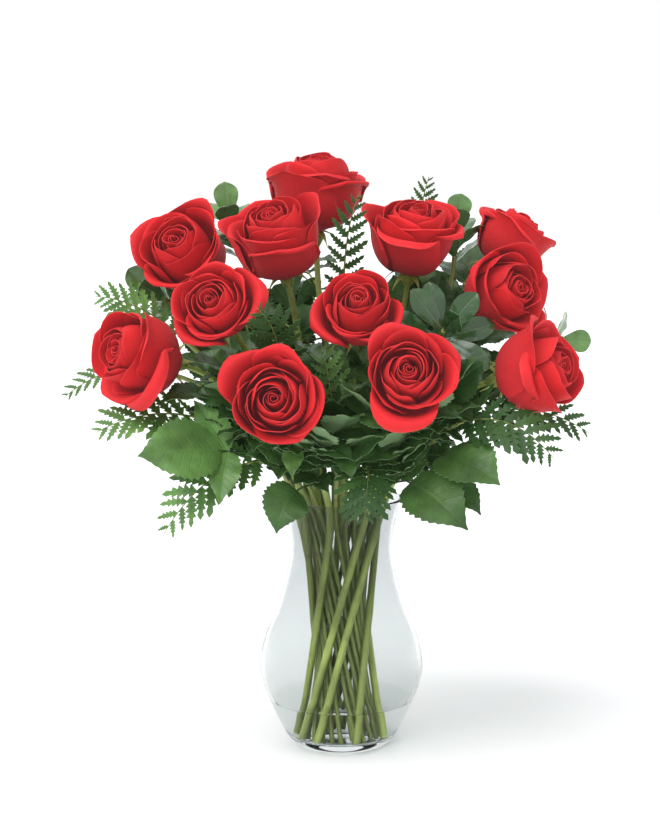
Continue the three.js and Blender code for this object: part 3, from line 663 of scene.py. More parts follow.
def rose_stem_form(index, rng):
    """A rose's stem, thicker at its nodes and foot, with its hip, sepals, thorns and leaves."""
    rose = ROSES[index]
    base, turning, _ = rose_frame(rose)
    line = rose_line(rose)
    form = Form()
    share = np.linspace(0, 1, len(line))
    radius = ROSE_STEM_RADIUS * mix(1.0, ROSE_STEM_TAPER, share)
    for node in NODES + 0.07 * rng.random(5):
        radius = radius + NODE_RISE * np.exp(-(((share - node) / NODE_SPREAD) ** 2))
    fine = np.linspace(0, 1, STEM_PLACES)
    dense = np.stack([np.interp(fine, share, line[:, k]) for k in range(3)], -1)
    tube(form, dense, np.interp(fine, share, radius), ROSE_STEM_SIDES, rng.random())
    capped(form, rings_about_up(smooth_line(HIP, 4), HIP_SIDES) @ turning.T + base, 0.5)
    sepals(form, rose, rng)
    thorns(form, dense, rng)
    form.skin = 1
    for leaf in ROSE_LEAVES:
        if leaf[0] == index + 1:
            root = dense[np.argmax(dense[:, 2] >= leaf[1])]
            rose_leaf(form, root, *leaf[2:], rng)
    return form


def clear_of_blooms(points):
    """For each set of points (set, point, 3), whether all lie inside the bouquet's box and cone, further
    from every bloom's middle than its petals reach, and never in front of a bloom as seen from -Y."""
    gap = points[:, :, None] - (BLOOM_AT + BLOOM_WAY * BLOOM_AHEAD)
    apart = np.linalg.norm(gap, axis=-1) > BLOOM_REACH * BLOOM_SIZE
    aside = np.hypot(gap[..., 0], gap[..., 2]) > BLOOM_SHIELD * BLOOM_REACH * BLOOM_SIZE
    inside = ((points > FOLIAGE_LOW) & (points < FOLIAGE_HIGH)).all((1, 2))
    out = np.hypot(points[..., 0], points[..., 1])
    inside &= (out < FOLIAGE_CONE[0] + FOLIAGE_CONE[1] * (points[..., 2] - FOLIAGE_LOW[2])).all(1)
    return (apart & ((gap[..., 1] > 0) | aside)).all((1, 2)) & inside


def foliage_form(index, rng):
    """The rest of a rose's foliage: compound leaves of five leaflets that leave its stem at drawn
    heights and point outwards and up. Of the leaves drawn, those clear of every bloom are kept."""
    line = rose_line(ROSES[index])
    form = Form()
    heights = mix(FOLIAGE_FROM, line[-1, 2] - FOLIAGE_UNDER_BLOOM, rng.random(FOLIAGE_DRAWN) ** 0.75)
    root = line[np.argmax(line[:, 2][None] >= heights[:, None], 1)]
    outward = unit(root * [1, 1, 0]) * 0.9
    loose = rng.normal(size=(FOLIAGE_DRAWN, 3)) * [0.6, 0.6, 0.12]
    out = unit(outward + loose + UP * mix(0.0, 0.55, rng.random((FOLIAGE_DRAWN, 1))))
    length = mix(*FOLIAGE_LENGTH, rng.random((FOLIAGE_DRAWN, 1)))
    end, far = root + out * length * 0.6, root + out * length - UP * FOLIAGE_SAG
    kept = []
    for k in np.nonzero(clear_of_blooms(np.stack([end, far, mix(root, end, 0.7)], 1)))[0]:
        if all(np.linalg.norm(far[k] - far[j]) > FOLIAGE_GAP for j in kept):
            kept.append(k)
    for k in kept[:FOLIAGE_PER_STEM]:
        compound_leaf(form, root[k], out[k], length[k, 0], rng)
    return form


def compound_leaf(form, root, out, length, rng):
    """A rose leaf of five leaflets: a stalk, an end leaflet that goes on from it, and two pairs."""
    up = unit(UP * 0.8 + out * [0.5, 0.5, 0] + [0, -0.35, 0] + rng.normal(size=3) * 0.15)
    way = unit(out)
    side = unit(np.cross(way, up))
    places = np.linspace(0, 1, 10)
    stalk = bezier([root, root + way * 0.35 * length + up * 3, root + way * 0.62 * length], places)
    form.skin = 0
    tube(form, stalk, np.linspace(0.95, 0.6, 10), STALK_SIDES, rng.random())
    form.skin = 1
    sizes = length * LEAFLET_SIZES * mix(0.85, 1.15, rng.random(5))
    start = np.stack([np.interp(LEAFLET_STARTS, places, stalk[:, k]) for k in range(3)], -1)
    ways = unit(side * LEAFLET_SIDES[:, None] + way * np.where(LEAFLET_SIDES == 0, 1.0, 0.55)[:, None])
    reach = ways * sizes[:, None]
    droop = up * sizes[:, None] * mix(0.05, 0.22, rng.random((5, 1)))
    bends = [start, start + reach * 0.5 + droop, start + reach - droop * 0.7]
    ribs = beziers(bends, np.linspace(0, 1, LEAF_ROWS))
    # Only the darker half of the tones is drawn here: painted shade for the bouquet's shaded inside.
    leaflet(form, ribs, np.repeat(up[None], 5, 0), sizes * LEAFLET_HALF, 0.5 * rng.random(), rng)


def green_stem(form, waist, end, way, rng):
    """The slim stem of a frond or a leafy stem, which stands in the middle ring."""
    line = stem_line("middle", waist, GREEN_STEM_RADIUS, end, way, 30)
    tube(form, line, GREEN_STEM_RADIUS, GREEN_STEM_SIDES, rng.random())


def frond_form(frond, rng):
    """A fern frond: a slim stem and rib with pairs of leaflets, longest in the lower third and swept
    towards the tip. A leaflet's length is half the frond's width times sin(pi (0.3 + 0.68 share))^0.8."""
    start, bend, tip, up, half, waist, tone = frond
    curve = np.array([start, bend, tip], float)
    form = Form()
    green_stem(form, waist, bezier(curve, 0.02), unit(curve[1] - curve[0]), rng)
    rib = bezier(curve, np.linspace(0, 1, 24))
    tube(form, rib, np.linspace(1.0, 0.25, 24), STALK_SIDES, rng.random())
    form.skin = 1
    share = np.repeat((np.arange(FROND_PAIRS) + 0.4) / FROND_PAIRS, 2) * 0.96
    share = share + np.tile([0, 0.45 / FROND_PAIRS], FROND_PAIRS)
    hand = np.tile([-1.0, 1.0], FROND_PAIRS)
    root = bezier(curve, share)
    way = unit(bezier(curve, np.minimum(share + 0.02, 1)) - bezier(curve, share - 0.02))
    side = unit(np.cross(way, unit(up)))
    face = np.cross(side, way)
    out = unit(side * hand[:, None] + way * mix(0.45, 1.0, share)[:, None])
    length = half * FROND_LEAFLET_LENGTH * np.sin(math.pi * (0.3 + 0.68 * share)) ** 0.8
    length = length * mix(0.82, 1.08, rng.random(len(share)))
    aside = np.maximum((out * side * hand[:, None]).sum(-1), 0.5)
    length = np.maximum(length / aside, FROND_LEAFLET_LEAST)[:, None]
    lift = face * mix(-0.15, 0.15, rng.random((len(share), 1)))
    bends = np.array([root, root + (out + lift + 0.12 * face) * length * 0.5,
                      root + (out + lift) * length + way * length * 0.12])
    frond_leaflets(form, bends, face, length, tone, rng)
    return form


def frond_leaflets(form, bends, face, length, tone, rng):
    """A frond's leaflets, each one blade on its own quadratic rib. bends (3, leaflet, 3) are those ribs.
    The half width is length times LEAFLET_WIDTH times sin(pi (0.2 + 0.78 x))^0.8 at the tips of its lobes
    and a share of it in the notches. A notch lies just past the tip before it, so the lobes point ahead."""
    lobe = np.arange(LEAFLET_LOBES)
    notch, peak = (mix(0.04, 1, (lobe + at) / (LEAFLET_LOBES + 0.7)) for at in (0.1, 0.95))
    x = np.concatenate([[0], np.stack([notch, peak], -1).ravel(), [1]])
    cut = np.concatenate([[0.15], np.tile([LEAFLET_NOTCH, 1], LEAFLET_LOBES), [0.03]])
    width = length * LEAFLET_WIDTH * (cut * np.sin(math.pi * (0.2 + 0.78 * x)) ** 0.8)[None]
    width = np.maximum(width * mix(0.88, 1.12, rng.random(width.shape)), 0.15)
    blades(form, beziers(bends, x), face, width, FROND_THICKNESS, 0.25, 3, about(tone, len(length), rng))


def leafy_form(place, rng):
    """A leafy stem: glossy leaves spiral a golden angle apart round its last stretch, and one ends it."""
    at, points, open_angle, leaf, half, count, waist, tone = place
    way, end = unit(points), np.array(at, float)
    form = Form()
    green_stem(form, waist, end, way, rng)
    form.skin = 1
    k = np.arange(count + MORE_LEAVES)
    a = k * GOLDEN_TURN
    o = np.where(k == 0, 0.15, open_angle * (0.75 + 0.35 * np.minimum(k, count) / count))
    out = np.stack([np.cos(a) * np.sin(o), np.sin(a) * np.sin(o), np.cos(o)], -1) @ turn_from_up(way).T
    root = end - way * (1 + SPIRAL_STEP * k)[:, None]
    size = (leaf * mix(0.92, 1.0, rng.random(len(k))))[:, None]
    x = np.linspace(0, 1, 17)
    ribs = beziers([root, root + out * size * 0.6 + way * 2, root + out * size - way * 4], x)
    face = np.where((k == 0)[:, None], unit([0, -1, 0.2]), way)
    width = half * obovate(x)[None] * np.ones((len(k), 1))
    tints = about(tone, len(k), rng)
    blades(form, ribs, face, width, LEAF_THICKNESS, 0.22, LEAF_COLUMNS, tints, wave=0.5)
    return form


# ---------------------------------------------------------------- materials

# Colours as red, green, blue and 1.
# The rim colour lightens the very edge of each petal: a painted highlight.
# The root colour darkens each petal towards its root: painted shade deep in the bloom.
PETAL_ROOT_SHADE, PETAL_BACK, PETAL_RIM_HIGHLIGHT = (0.40, 0.02, 0.024, 1), (0.74, 0.03, 0.04, 1), (0.92, 0.22, 0.22, 1)
# The petals' glow is a faint emission that lifts their darkest shade: painted light.
PETAL_PAINTED_GLOW, PETAL_SHEEN = (0.022, 0.011, 0.012, 1), (1.0, 0.35, 0.35, 1)
# The leaves' glow is a faint emission that lifts their shade: painted light.
LIGHT_LEAF, LEAF_PAINTED_GLOW = (0.18, 0.38, 0.09, 1), (0.0045, 0.0075, 0.0035, 1)
STEM_MARK = (0.13, 0.075, 0.025, 1)
# The glass tints are its faint colour plus painted reflection: uneven, and greyer from the waist up.
GLASS_CLEAR, GLASS_UPPER = ((0.80, 0.825, 0.822, 1), (0.84, 0.858, 0.856, 1)), (0.665, 0.685, 0.685, 1)
WATER_CLEAR, FLOOR_PALE = (
    ((0.97, 0.985, 0.975, 1), (0.985, 0.995, 0.99, 1)), ((0.92, 0.92, 0.925, 1), (0.94, 0.94, 0.94, 1)))
GLASS_SHADOW, WATER_SHADOW = (0.93, 0.955, 0.95, 1), (0.97, 0.985, 0.98, 1)
SKY_LIGHT, SKY_SEEN = (0.97, 0.985, 1.0, 1), (1, 1, 1, 1)


def shade(colour, factor):
    """A colour made darker or lighter, as red, green, blue and 1."""
    return (*[min(1.0, c * factor) for c in colour[:3]], 1.0)


def feed(tree, socket, value):
    """Links an input to another node's output, or sets it to a plain value."""
    if isinstance(value, bpy.types.NodeSocket):
        tree.links.new(value, socket)
    else:
        socket.default_value = value


def put(tree, kind, inputs=None, **settings):
    """Adds a node, sets its settings, and gives each input its value or its link."""
    node = tree.nodes.new(kind)
    for key, value in settings.items():
        setattr(node, key, value)
    for socket, value in (inputs or {}).items():
        feed(tree, node.inputs[socket], value)
    return node


def maths(tree, operation, *values, clamp=False):
    """The output of a Math node."""
    inputs = dict(enumerate(values))
    return put(tree, "ShaderNodeMath", inputs, operation=operation, use_clamp=clamp).outputs[0]


def ramp(tree, value, low, high, at_low=0.0, at_high=1.0, kind="LINEAR"):
    """The output of a Map Range node: at_low to at_high as value goes from low to high."""
    inputs = {"Value": value, "From Min": low, "From Max": high, "To Min": at_low, "To Max": at_high}
    return put(tree, "ShaderNodeMapRange", inputs, interpolation_type=kind).outputs[0]


def shader_group(name, inputs, output, build):
    """A shader node group, built once. build gets the tree and its input sockets by name, and returns
    the socket for its output. An input's default of None makes it a vector."""
    tree = bpy.data.node_groups.get(name)
    if tree:
        return tree
    tree = bpy.data.node_groups.new(name, "ShaderNodeTree")
    for key, value in inputs.items():
        kind = "NodeSocketVector" if value is None else "NodeSocketFloat"
        socket = tree.interface.new_socket(key, in_out="INPUT", socket_type=kind)
        if value is not None:
            socket.default_value = value
    tree.interface.new_socket(output, in_out="OUTPUT", socket_type="NodeSocketFloat")
    entry = tree.nodes.new("NodeGroupInput")
    put(tree, "NodeGroupOutput", {0: build(tree, entry.outputs)})
    return tree


def blotches():
    """Soft uneven tone over the surface: noise, from 0 at Low to 1 at High."""

    def build(tree, given):
        inputs = {"Vector": given["Vector"], "Scale": given["Scale"], "Detail": 3.0}
        noise = put(tree, "ShaderNodeTexNoise", inputs)
        return ramp(tree, noise.outputs[0], given["Low"], given["High"])

    return shader_group("Blotches", {"Vector": None, "Scale": 40.0, "Low": 0.3, "High": 0.7}, "Tone", build)


def fine_lines():
    """Fine fibres along a petal or stem: noise of (across x count, along x stretch)."""

    def build(tree, given):
        parts = put(tree, "ShaderNodeSeparateXYZ", {0: given["UV"]}).outputs
        across = maths(tree, "MULTIPLY", parts[0], given["Across"])
        along = maths(tree, "MULTIPLY", parts[1], given["Along"])
        vector = put(tree, "ShaderNodeCombineXYZ", {0: across, 1: along, 2: given["Seed"]}).outputs[0]
        return put(tree, "ShaderNodeTexNoise", {"Vector": vector, "Scale": 1.0, "Detail": 3.0}).outputs[0]

    return shader_group("Fine Lines", {"UV": None, "Across": 40.0, "Along": 3.0, "Seed": 0.0}, "Lines", build)


def leaf_veins():
    """Midrib and side veins from UV: across is |2 u - 1|; a side vein lies where v pairs - slant
    across^0.8 is near a whole number and a half, and thins towards the margin."""

    def build(tree, given):
        parts = put(tree, "ShaderNodeSeparateXYZ", {0: given["UV"]}).outputs
        across = maths(tree, "ABSOLUTE", maths(tree, "MULTIPLY_ADD", parts[0], 2.0, -1.0))
        lag = maths(tree, "MULTIPLY", maths(tree, "POWER", across, 0.8), given["Slant"])
        phase = maths(tree, "SUBTRACT", maths(tree, "MULTIPLY", parts[1], given["Pairs"]), lag)
        off = maths(tree, "ABSOLUTE", maths(tree, "SUBTRACT", maths(tree, "FRACT", phase), 0.5))
        thin = maths(tree, "MULTIPLY", given["Width"], maths(tree, "SUBTRACT", 1.25, across))
        side = ramp(tree, off, 0.0, thin, given["Side"], 0.0, "SMOOTHSTEP")
        return maths(tree, "MAXIMUM", side, ramp(tree, across, 0.02, 0.09, 1.0, 0.0, "SMOOTHSTEP"))

    inputs = {"UV": None, "Pairs": 9.0, "Slant": 1.6, "Width": 0.12, "Side": 0.75}
    return shader_group("Leaf Veins", inputs, "Veins", build)


class Skin:
    """A new material, its node tree and its Principled shader, with short ways to wire them."""

    def __init__(self, name):
        self.material = bpy.data.materials.new(name)
        self.material.use_nodes = True
        self.tree = self.material.node_tree
        self.shader = self.tree.nodes["Principled BSDF"]
        given = self.tree.nodes.new("ShaderNodeTexCoord").outputs
        self.place, self.uv = given["Object"], given["UV"]

    def maths(self, operation, *values, clamp=False):
        """The output of a Math node."""
        return maths(self.tree, operation, *values, clamp=clamp)

    def mixed(self, share, a, b):
        """The colour at a share of the way from a to b."""
        return put(self.tree, "ShaderNodeMix", {0: share, 6: a, 7: b}, data_type="RGBA").outputs[2]

    def part(self, vector, axis):
        """The number along one axis of a vector."""
        return put(self.tree, "ShaderNodeSeparateXYZ", {0: vector}).outputs[axis]

    def attribute(self, name):
        """The number that the mesh gives at each of its points under a name."""
        return put(self.tree, "ShaderNodeAttribute", attribute_name=name).outputs["Fac"]

    def group(self, group, **inputs):
        """The output of a placed shader group."""
        return put(self.tree, "ShaderNodeGroup", inputs, node_tree=group).outputs[0]

    def tone(self, scale, low, high):
        """Blotches over the piece."""
        return self.group(blotches(), Vector=self.place, Scale=scale, Low=low, High=high)

    def lines(self, across, along):
        """Fine lines along each blade or stem, other ones on each."""
        return self.group(fine_lines(), UV=self.uv, Across=across, Along=along, Seed=self.attribute("tint"))

    def wear(self, **values):
        """Feeds the shader's inputs, which are named with _ for a space."""
        for key, value in values.items():
            feed(self.tree, self.shader.inputs[key.replace("_", " ")], value)

    def bump(self, height, distance, strength):
        """Bends the shader's normal by a height."""
        inputs = {"Height": height, "Distance": distance, "Strength": strength}
        self.wear(Normal=put(self.tree, "ShaderNodeBump", inputs).outputs[0])

    def let_light_through(self, tint):
        """Makes shadow rays see a transparent shader in place of this one."""
        rays = put(self.tree, "ShaderNodeLightPath").outputs["Is Shadow Ray"]
        clear = put(self.tree, "ShaderNodeBsdfTransparent", {0: tint}).outputs[0]
        both = put(self.tree, "ShaderNodeMixShader", {0: rays, 1: self.shader.outputs[0], 2: clear})
        feed(self.tree, self.tree.nodes["Material Output"].inputs["Surface"], both.outputs[0])


def petal_velvet(colour):
    """Velvety red: each petal its own shade, darker towards the root as painted shade, a painted highlight
    along the rim, fine ribs along it, and a faint glow that lifts the shade as painted light.
    """
    skin = Skin("rose_petal_velvet")
    tone, lines = skin.tone(45.0, 0.3, 0.72), skin.lines(46.0, 2.5)
    blotched = skin.maths("MULTIPLY", tone, 0.4)
    share = skin.maths("MULTIPLY_ADD", skin.attribute("tint"), 0.45, blotched, clamp=True)
    red = skin.mixed(share, shade(colour, 0.68), shade(colour, 1.16))
    red = skin.mixed(skin.maths("MULTIPLY", lines, 0.30), red, shade(colour, 0.5))
    rise = skin.part(skin.uv, 1)
    # Painted shade: darker towards the petal's root, deep in the bloom.
    red = skin.mixed(ramp(skin.tree, rise, 0.9, 0.1, 0.0, 0.85), red, PETAL_ROOT_SHADE)
    red = skin.mixed(skin.maths("MULTIPLY", skin.attribute("under"), 0.18), red, PETAL_BACK)
    # Painted highlight: a pale line along each petal's rim.
    red = skin.mixed(ramp(skin.tree, rise, 0.95, 1.0, 0.0, 0.08), red, PETAL_RIM_HIGHLIGHT)
    roughness = skin.maths("MULTIPLY_ADD", lines, 0.18, 0.52)
    # The faint emission lifts the petals' dark shade: painted light.
    skin.wear(Base_Color=red, Roughness=roughness, Specular_IOR_Level=0.14,
              Emission_Color=PETAL_PAINTED_GLOW, Emission_Strength=1.0,
              Sheen_Weight=0.03, Sheen_Roughness=0.5, Sheen_Tint=PETAL_SHEEN)
    skin.bump(skin.maths("ADD", lines, skin.maths("MULTIPLY", tone, 0.6)), 0.0006, 0.5)
    return skin.material


def stem_skin(name, light, dark):
    """A stem: light and dark green streaks along it, brownish marks, and some stems darker throughout."""
    skin = Skin(name)
    lines = skin.lines(9.0, 7.0)
    green = skin.mixed(skin.tone(24.0, 0.35, 0.65), shade(dark, 1), shade(light, 1))
    green = skin.mixed(ramp(skin.tree, lines, 0.42, 0.6, 0.0, 0.6), green, shade(light, 0.4))
    deep = skin.maths("MULTIPLY", skin.maths("POWER", skin.attribute("tint"), 1.4), 0.85)
    green = skin.mixed(deep, green, shade(dark, 0.8))
    green = skin.mixed(skin.maths("MULTIPLY", skin.tone(75.0, 0.63, 0.72), 0.45), green, STEM_MARK)
    skin.wear(Base_Color=green, Roughness=skin.maths("MULTIPLY_ADD", lines, 0.2, 0.36))
    skin.bump(lines, 0.0005, 0.6)
    return skin.material


def leaf_skin(name, top, under, vein, rough, pairs, slant, coat, side=0.75):
    """A leaf: its tint and blotches carry it from dark to light, its veins are paler and sunk on the
    upper side, its underside is pale, and a faint emission lifts its shade as painted light."""
    skin = Skin(name)
    veins = skin.group(leaf_veins(), UV=skin.uv, Pairs=pairs, Slant=slant, Side=side)
    blotched = skin.maths("MULTIPLY", skin.tone(38.0, 0.28, 0.72), 0.4)
    share = skin.maths("MULTIPLY_ADD", skin.attribute("tint"), 0.6, blotched, clamp=True)
    green = skin.mixed(skin.maths("POWER", share, 2.5), shade(top, 0.48), LIGHT_LEAF)
    green = skin.mixed(skin.maths("MULTIPLY", veins, 0.18), green, shade(vein, 1))
    pale = skin.mixed(skin.maths("MULTIPLY", veins, 0.4), shade(under, 1), shade(vein, 1.25))
    below = skin.attribute("under")
    spots = skin.tone(160.0, 0.3, 0.7)
    roughness = skin.maths("MULTIPLY_ADD", spots, 0.12, skin.maths("MULTIPLY_ADD", below, 0.25, rough))
    # The faint emission lifts the leaves' dark shade: painted light.
    skin.wear(Base_Color=skin.mixed(below, green, pale), Roughness=roughness, Specular_IOR_Level=0.3,
              Coat_Weight=coat, Coat_Roughness=0.16, Emission_Color=LEAF_PAINTED_GLOW, Emission_Strength=1.0)
    skin.bump(skin.maths("SUBTRACT", skin.maths("MULTIPLY", spots, 0.35), veins), 0.0007, 0.5)
    return skin.material


def clear_glass():
    """Clear glass with a faint tint, blotchy and greyer from the waist up as painted reflection: Principled
    transmission, mixed for shadow rays with a plain transparent shader, so light comes through it."""
    skin = Skin("clear_vase_glass")
    wave = skin.tone(14.0, 0.2, 0.8)
    upper = ramp(skin.tree, skin.part(skin.place, 2), 0.07, 0.17)
    # The blotchy tint and the greyer tint from the waist up are painted reflection on the clear glass.
    skin.wear(Base_Color=skin.mixed(upper, skin.mixed(wave, *GLASS_CLEAR), GLASS_UPPER),
              Transmission_Weight=1.0, Roughness=0.0, IOR=1.16)
    skin.bump(wave, 0.0006, 0.5)
    skin.let_light_through(GLASS_SHADOW)
    return skin.material


def still_water():
    """Clear water: Principled transmission, which bends light little, so the stems stay whole."""
    skin = Skin("clear_water")
    ripple = skin.tone(30.0, 0.2, 0.8)
    skin.wear(Base_Color=skin.mixed(ripple, *WATER_CLEAR), Transmission_Weight=1.0, Roughness=0.0, IOR=1.06)
    skin.bump(ripple, 0.0004, 0.4)
    skin.let_light_through(WATER_SHADOW)
    return skin.material


def studio_floor():
    """Pale matt floor, a little uneven in tone."""
    skin = Skin("pale_studio_floor")
    skin.wear(Base_Color=skin.mixed(skin.tone(3.0, 0.2, 0.8), *FLOOR_PALE), Roughness=0.75)
    return skin.material


# ---------------------------------------------------------------- settings


class BouquetSettings(PropertyGroup):
    """Number of petals, and the colours of the flowers and leaves"""

    petal_count: IntProperty(
        name="Petals", description="Petals of each bloom round its rolled heart", default=21, min=8, max=60)
    petal_colour: FloatVectorProperty(
        name="Petal colour", description="Colour of the petals", subtype="COLOR", size=3,
        default=(0.74, 0.017, 0.021))
    stem_colour: FloatVectorProperty(
        name="Stems", description="Light green of the stems", subtype="COLOR", size=3,
        default=(0.62, 0.76, 0.19))
    leaf_colour: FloatVectorProperty(
        name="Rose leaves", description="Upper side of the rose leaves", subtype="COLOR", size=3,
        default=(0.036, 0.112, 0.022))
    fern_colour: FloatVectorProperty(
        name="Ferns", description="Colour of the fern fronds", subtype="COLOR", size=3,
        default=(0.040, 0.130, 0.028))
    glossy_colour: FloatVectorProperty(
        name="Glossy leaves", description="Colour of the glossy leaves", subtype="COLOR", size=3,
        default=(0.036, 0.125, 0.028))


class StudioSettings(PropertyGroup):
    """Strengths of the lights, and the lens"""

    sky: FloatProperty(name="Soft light", description="Strength of the light from all round", default=1.0)
    key: FloatProperty(name="Key light", description="Strength of the main light", default=2.0)
    softness: FloatProperty(
        name="Softness", description="Angle of the main light as the flowers see it", subtype="ANGLE",
        default=math.radians(48))
    focal_length: FloatProperty(
        name="Lens", description="Focal length for a 36 mm sensor", default=97.1, subtype="DISTANCE_CAMERA")


def settle(piece, slot, *nodes):
    """Rides a finished piece on the root body and hides the CAD nodes that it replaces. The slot is not used.
    """
    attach(piece, "root")
    if nodes:
        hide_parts(*nodes)


def named(kind, index):
    """The name of a piece or node, numbered from 01."""
    return f"{kind}_{index + 1:02d}"


# ---------------------------------------------------------------- operators


class BouquetOperator:
    """What all the operators share"""

    bl_options = {"REGISTER", "UNDO"}


def vase_inside():
    """The inside of the vase as [radius, height], from its floor to its rim."""
    wall = [(r - VASE_WALL, z) for r, z in VASE_OUTSIDE if z > VASE_WALL_FROM]
    return smooth_line(VASE_INSIDE_FLOOR + wall, PROFILE_STEPS)


class ROSES_OT_vase(BouquetOperator, Operator):
    """Turn the clear glass vase"""

    bl_idname = "roses.vase"
    bl_label = "Glass vase"

    def execute(self, context):
        outside, inside = smooth_line(VASE_OUTSIDE, PROFILE_STEPS), vase_inside()
        half = (outside[-1] - inside[-1])[0] / 2
        a = np.linspace(0, math.pi, 9)[1:-1]
        lip = (outside[-1] + inside[-1]) / 2 + np.stack([half * np.cos(a), VASE_LIP * np.sin(a)], -1)
        punt = smooth_line(VASE_PUNT + [VASE_OUTSIDE[0]], 4)[:-1]
        form = Form()
        capped(form, rings_about_up(np.vstack([punt, outside, lip, inside[::-1]]), VASE_SIDES))
        settle(form.piece("vase_glass", clear_glass()), "clear_glass", "vase")
        return {"FINISHED"}


class ROSES_OT_water(BouquetOperator, Operator):
    """Fill the vase with water"""

    bl_idname = "roses.water"
    bl_label = "Water"

    def execute(self, context):
        inside = vase_inside()
        wet = inside[inside[:, 1] < WATER_LEVEL - WATER_GAP] + [WATER_OVERLAP, -WATER_OVERLAP]
        edge = np.interp(WATER_LEVEL, inside[:, 1], inside[:, 0])
        surface = [(edge + out, WATER_LEVEL + higher) for out, higher in WATER_SKIN]
        form = Form()
        profile = np.vstack([wet, surface, [(WATER_MIDDLE, surface[-1][1])]])
        capped(form, rings_about_up(profile, WATER_SIDES))
        settle(form.piece("vase_water", still_water()), "water", "water")
        return {"FINISHED"}


class ROSES_OT_blooms(BouquetOperator, Operator):
    """Grow the twelve red blooms"""

    bl_idname = "roses.blooms"
    bl_label = "Rose blooms"

    def execute(self, context):
        settings = context.scene.bouquet
        velvet = petal_velvet(settings.petal_colour)
        for i, (rose, spread) in enumerate(zip(ROSES, BLOOM_SPREAD)):
            form = bloom_form(rose, spread, settings.petal_count, BLOOM_SEED + i)
            piece = form.piece(named("petals_of_rose", i), velvet, sharp=80)
            settle(piece, "red_petal", named("rose_bloom", i))
        return {"FINISHED"}


class ROSES_OT_stems(BouquetOperator, Operator):
    """Grow the rose stems with their hips, sepals, thorns and leaves, and the rest of the foliage"""

    bl_idname = "roses.stems"
    bl_label = "Rose stems"

    def execute(self, context):
        settings = context.scene.bouquet
        skin = leaf_skin("rose_leaf_skin", settings.leaf_colour, under=(0.17, 0.27, 0.13),
                         vein=(0.12, 0.24, 0.07), rough=0.36, pairs=9.0, slant=1.7, coat=0.15)
        bark = stem_skin("rose_stem_skin", settings.stem_colour, shade(settings.stem_colour, 0.42))
        rng = np.random.default_rng(ROSE_SEED)
        for i in range(len(ROSES)):
            form = rose_stem_form(i, rng)
            settle(form.piece(named("stem_of_rose", i), bark, skin), "rose_green", named("rose_stem", i))
        for i in range(len(ROSES)):
            form = foliage_form(i, rng)
            settle(form.piece(named("leaves_of_rose", i), bark, skin), "rose_green")
        return {"FINISHED"}


class ROSES_OT_ferns(BouquetOperator, Operator):
    """Grow the fern fronds"""

    bl_idname = "roses.ferns"
    bl_label = "Fern fronds"

    def execute(self, context):
        settings = context.scene.bouquet
        skin = leaf_skin("fern_skin", settings.fern_colour, under=(0.10, 0.23, 0.07),
                         vein=(0.06, 0.2, 0.06), rough=0.45, pairs=5.0, slant=0.8, coat=0.05)
        rib = stem_skin("fern_rib_skin", shade(settings.stem_colour, 0.55), shade(settings.stem_colour, 0.3))
        rng = np.random.default_rng(FERN_SEED)
        for i, frond in enumerate(FRONDS):
            form = frond_form(frond, rng)
            settle(form.piece(named("lacy_frond", i), rib, skin), "fern_green", named("fern_frond", i))
        return {"FINISHED"}


class ROSES_OT_leafy(BouquetOperator, Operator):
    """Grow the stems with glossy leaves"""

    bl_idname = "roses.leafy"
    bl_label = "Leafy stems"

    def execute(self, context):
        settings = context.scene.bouquet
        skin = leaf_skin("glossy_leaf_skin", settings.glossy_colour, under=(0.09, 0.2, 0.08),
                         vein=(0.16, 0.32, 0.12), rough=0.22, pairs=7.0, slant=1.2, coat=0.9, side=0.2)
        twig = stem_skin("twig_skin", shade(settings.stem_colour, 0.55), shade(settings.stem_colour, 0.25))
        rng = np.random.default_rng(LEAFY_SEED)
        for i, place in enumerate(LEAFY_STEMS):
            form = leafy_form(place, rng)
            settle(form.piece(named("glossy_sprig", i), twig, skin), "glossy_green", named("leafy_stem", i))
        return {"FINISHED"}


def floor_form():
    """A flat round floor of rings about the origin, closed by a fan of faces in its middle."""
    rings = rings_about_up([(radius / MM, FLOOR_LEVEL) for radius in FLOOR_RINGS], FLOOR_SIDES)
    count = len(FLOOR_RINGS) * FLOOR_SIDES
    at = np.arange(count).reshape(-1, FLOOR_SIDES)
    beside = np.roll(at, -1, axis=1)
    quads = np.stack([at[:-1], at[1:], beside[1:], beside[:-1]], -1).reshape(-1, 4)
    hub = np.stack([at[0], beside[0], np.full(FLOOR_SIDES, count)], -1)
    places = np.vstack([rings.reshape(-1, 3), [[0, 0, FLOOR_LEVEL]]])
    form = Form()
    form.add(places, [quads, hub], np.zeros((len(places), 2)), 0.0, 0.0)
    return form


def soft_sky(strength):
    """A world that lights from all round, and that the camera sees as plain white."""
    world = bpy.data.worlds.new("studio")
    world.use_nodes = True
    tree = world.node_tree
    lit = tree.nodes["Background"]
    feed(tree, lit.inputs[0], SKY_LIGHT)
    feed(tree, lit.inputs[1], strength)
    seen = put(tree, "ShaderNodeBackground", {0: SKY_SEEN, 1: 1.0})
    rays = put(tree, "ShaderNodeLightPath").outputs["Is Camera Ray"]
    both = put(tree, "ShaderNodeMixShader", {0: rays, 1: lit.outputs[0], 2: seen.outputs[0]})
    feed(tree, tree.nodes["World Output"].inputs[0], both.outputs[0])
    return world


def aim(thing, place, target):
    """Stands a lamp or the camera at place, with its -Z towards target and +Y up, in the scene."""
    thing.location = place
    thing.rotation_euler = (Vector(target) - Vector(place)).to_track_quat("-Z", "Y").to_euler()
    bpy.context.scene.collection.objects.link(thing)


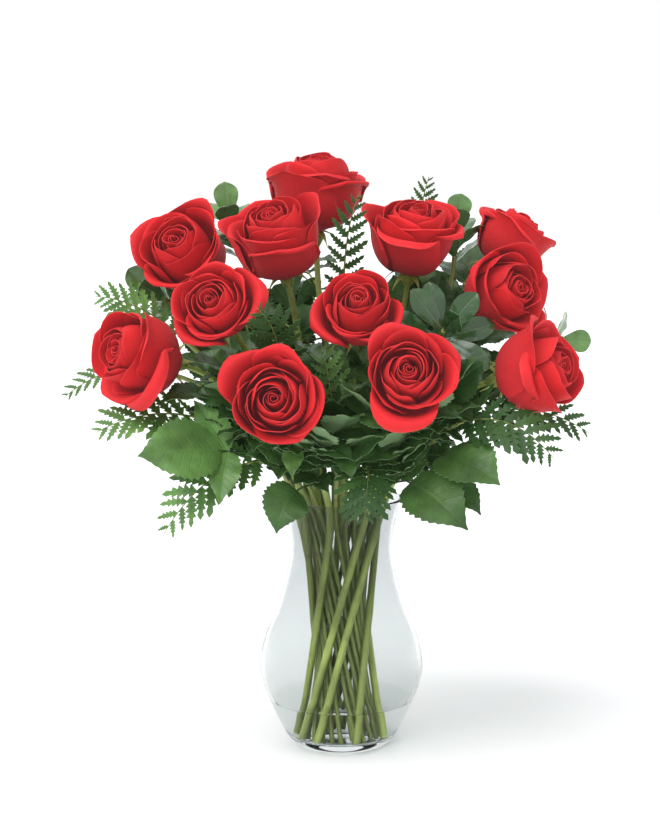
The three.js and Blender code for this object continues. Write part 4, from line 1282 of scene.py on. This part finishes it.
class ROSES_OT_studio(BouquetOperator, Operator):
    """Set up the floor, the soft light and the camera"""

    bl_idname = "roses.studio"
    bl_label = "Studio"

    def execute(self, context):
        scene, settings = context.scene, context.scene.studio
        scene.view_settings.view_transform = "Standard"
        floor_form().piece("floor", studio_floor())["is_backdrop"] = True
        scene.world = soft_sky(settings.sky)

        lamp = bpy.data.lights.new("key", "SUN")
        lamp.energy, lamp.angle = settings.key, settings.softness
        aim(bpy.data.objects.new("key", lamp), KEY_PLACE, KEY_TARGET)

        lens = bpy.data.cameras.new("camera")
        lens.lens, lens.sensor_width = settings.focal_length, CAMERA_SENSOR
        lens.clip_end = CAMERA_FAR
        scene.camera = bpy.data.objects.new("camera", lens)
        aim(scene.camera, CAMERA_PLACE, CAMERA_TARGET)
        return {"FINISHED"}


class ROSES_PT_panel(Panel):
    """Lists the settings of the roses in their vase and the steps that build them"""

    bl_label = "Roses in a Vase"
    bl_idname = "ROSES_PT_panel"
    bl_space_type = "VIEW_3D"
    bl_region_type = "UI"
    bl_category = "Roses"

    def draw(self, context):
        column = self.layout.column()
        for settings in (context.scene.bouquet, context.scene.studio):
            for key in settings.__annotations__:
                column.prop(settings, key)
        for operator in OPERATORS:
            column.operator(operator.bl_idname)


OPERATORS = (ROSES_OT_studio, ROSES_OT_vase, ROSES_OT_water, ROSES_OT_blooms, ROSES_OT_stems, ROSES_OT_ferns,
             ROSES_OT_leafy)
CLASSES = (BouquetSettings, StudioSettings, *OPERATORS, ROSES_PT_panel)


def register():
    for cls in CLASSES:
        bpy.utils.register_class(cls)
    bpy.types.Scene.bouquet = PointerProperty(type=BouquetSettings)
    bpy.types.Scene.studio = PointerProperty(type=StudioSettings)


def unregister():
    del bpy.types.Scene.bouquet
    del bpy.types.Scene.studio
    for cls in reversed(CLASSES):
        bpy.utils.unregister_class(cls)


def main():
    """Registers the add-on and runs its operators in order."""
    register()
    for operator in OPERATORS:
        group, name = operator.bl_idname.split(".")
        getattr(getattr(bpy.ops, group), name)()
    sizes = {"cad": CAD_BOX, "visual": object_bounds()}
    sizes = {key: [[float(c) for c in corner] for corner in box] for key, box in sizes.items()}


if __name__ == "__main__":
    main()
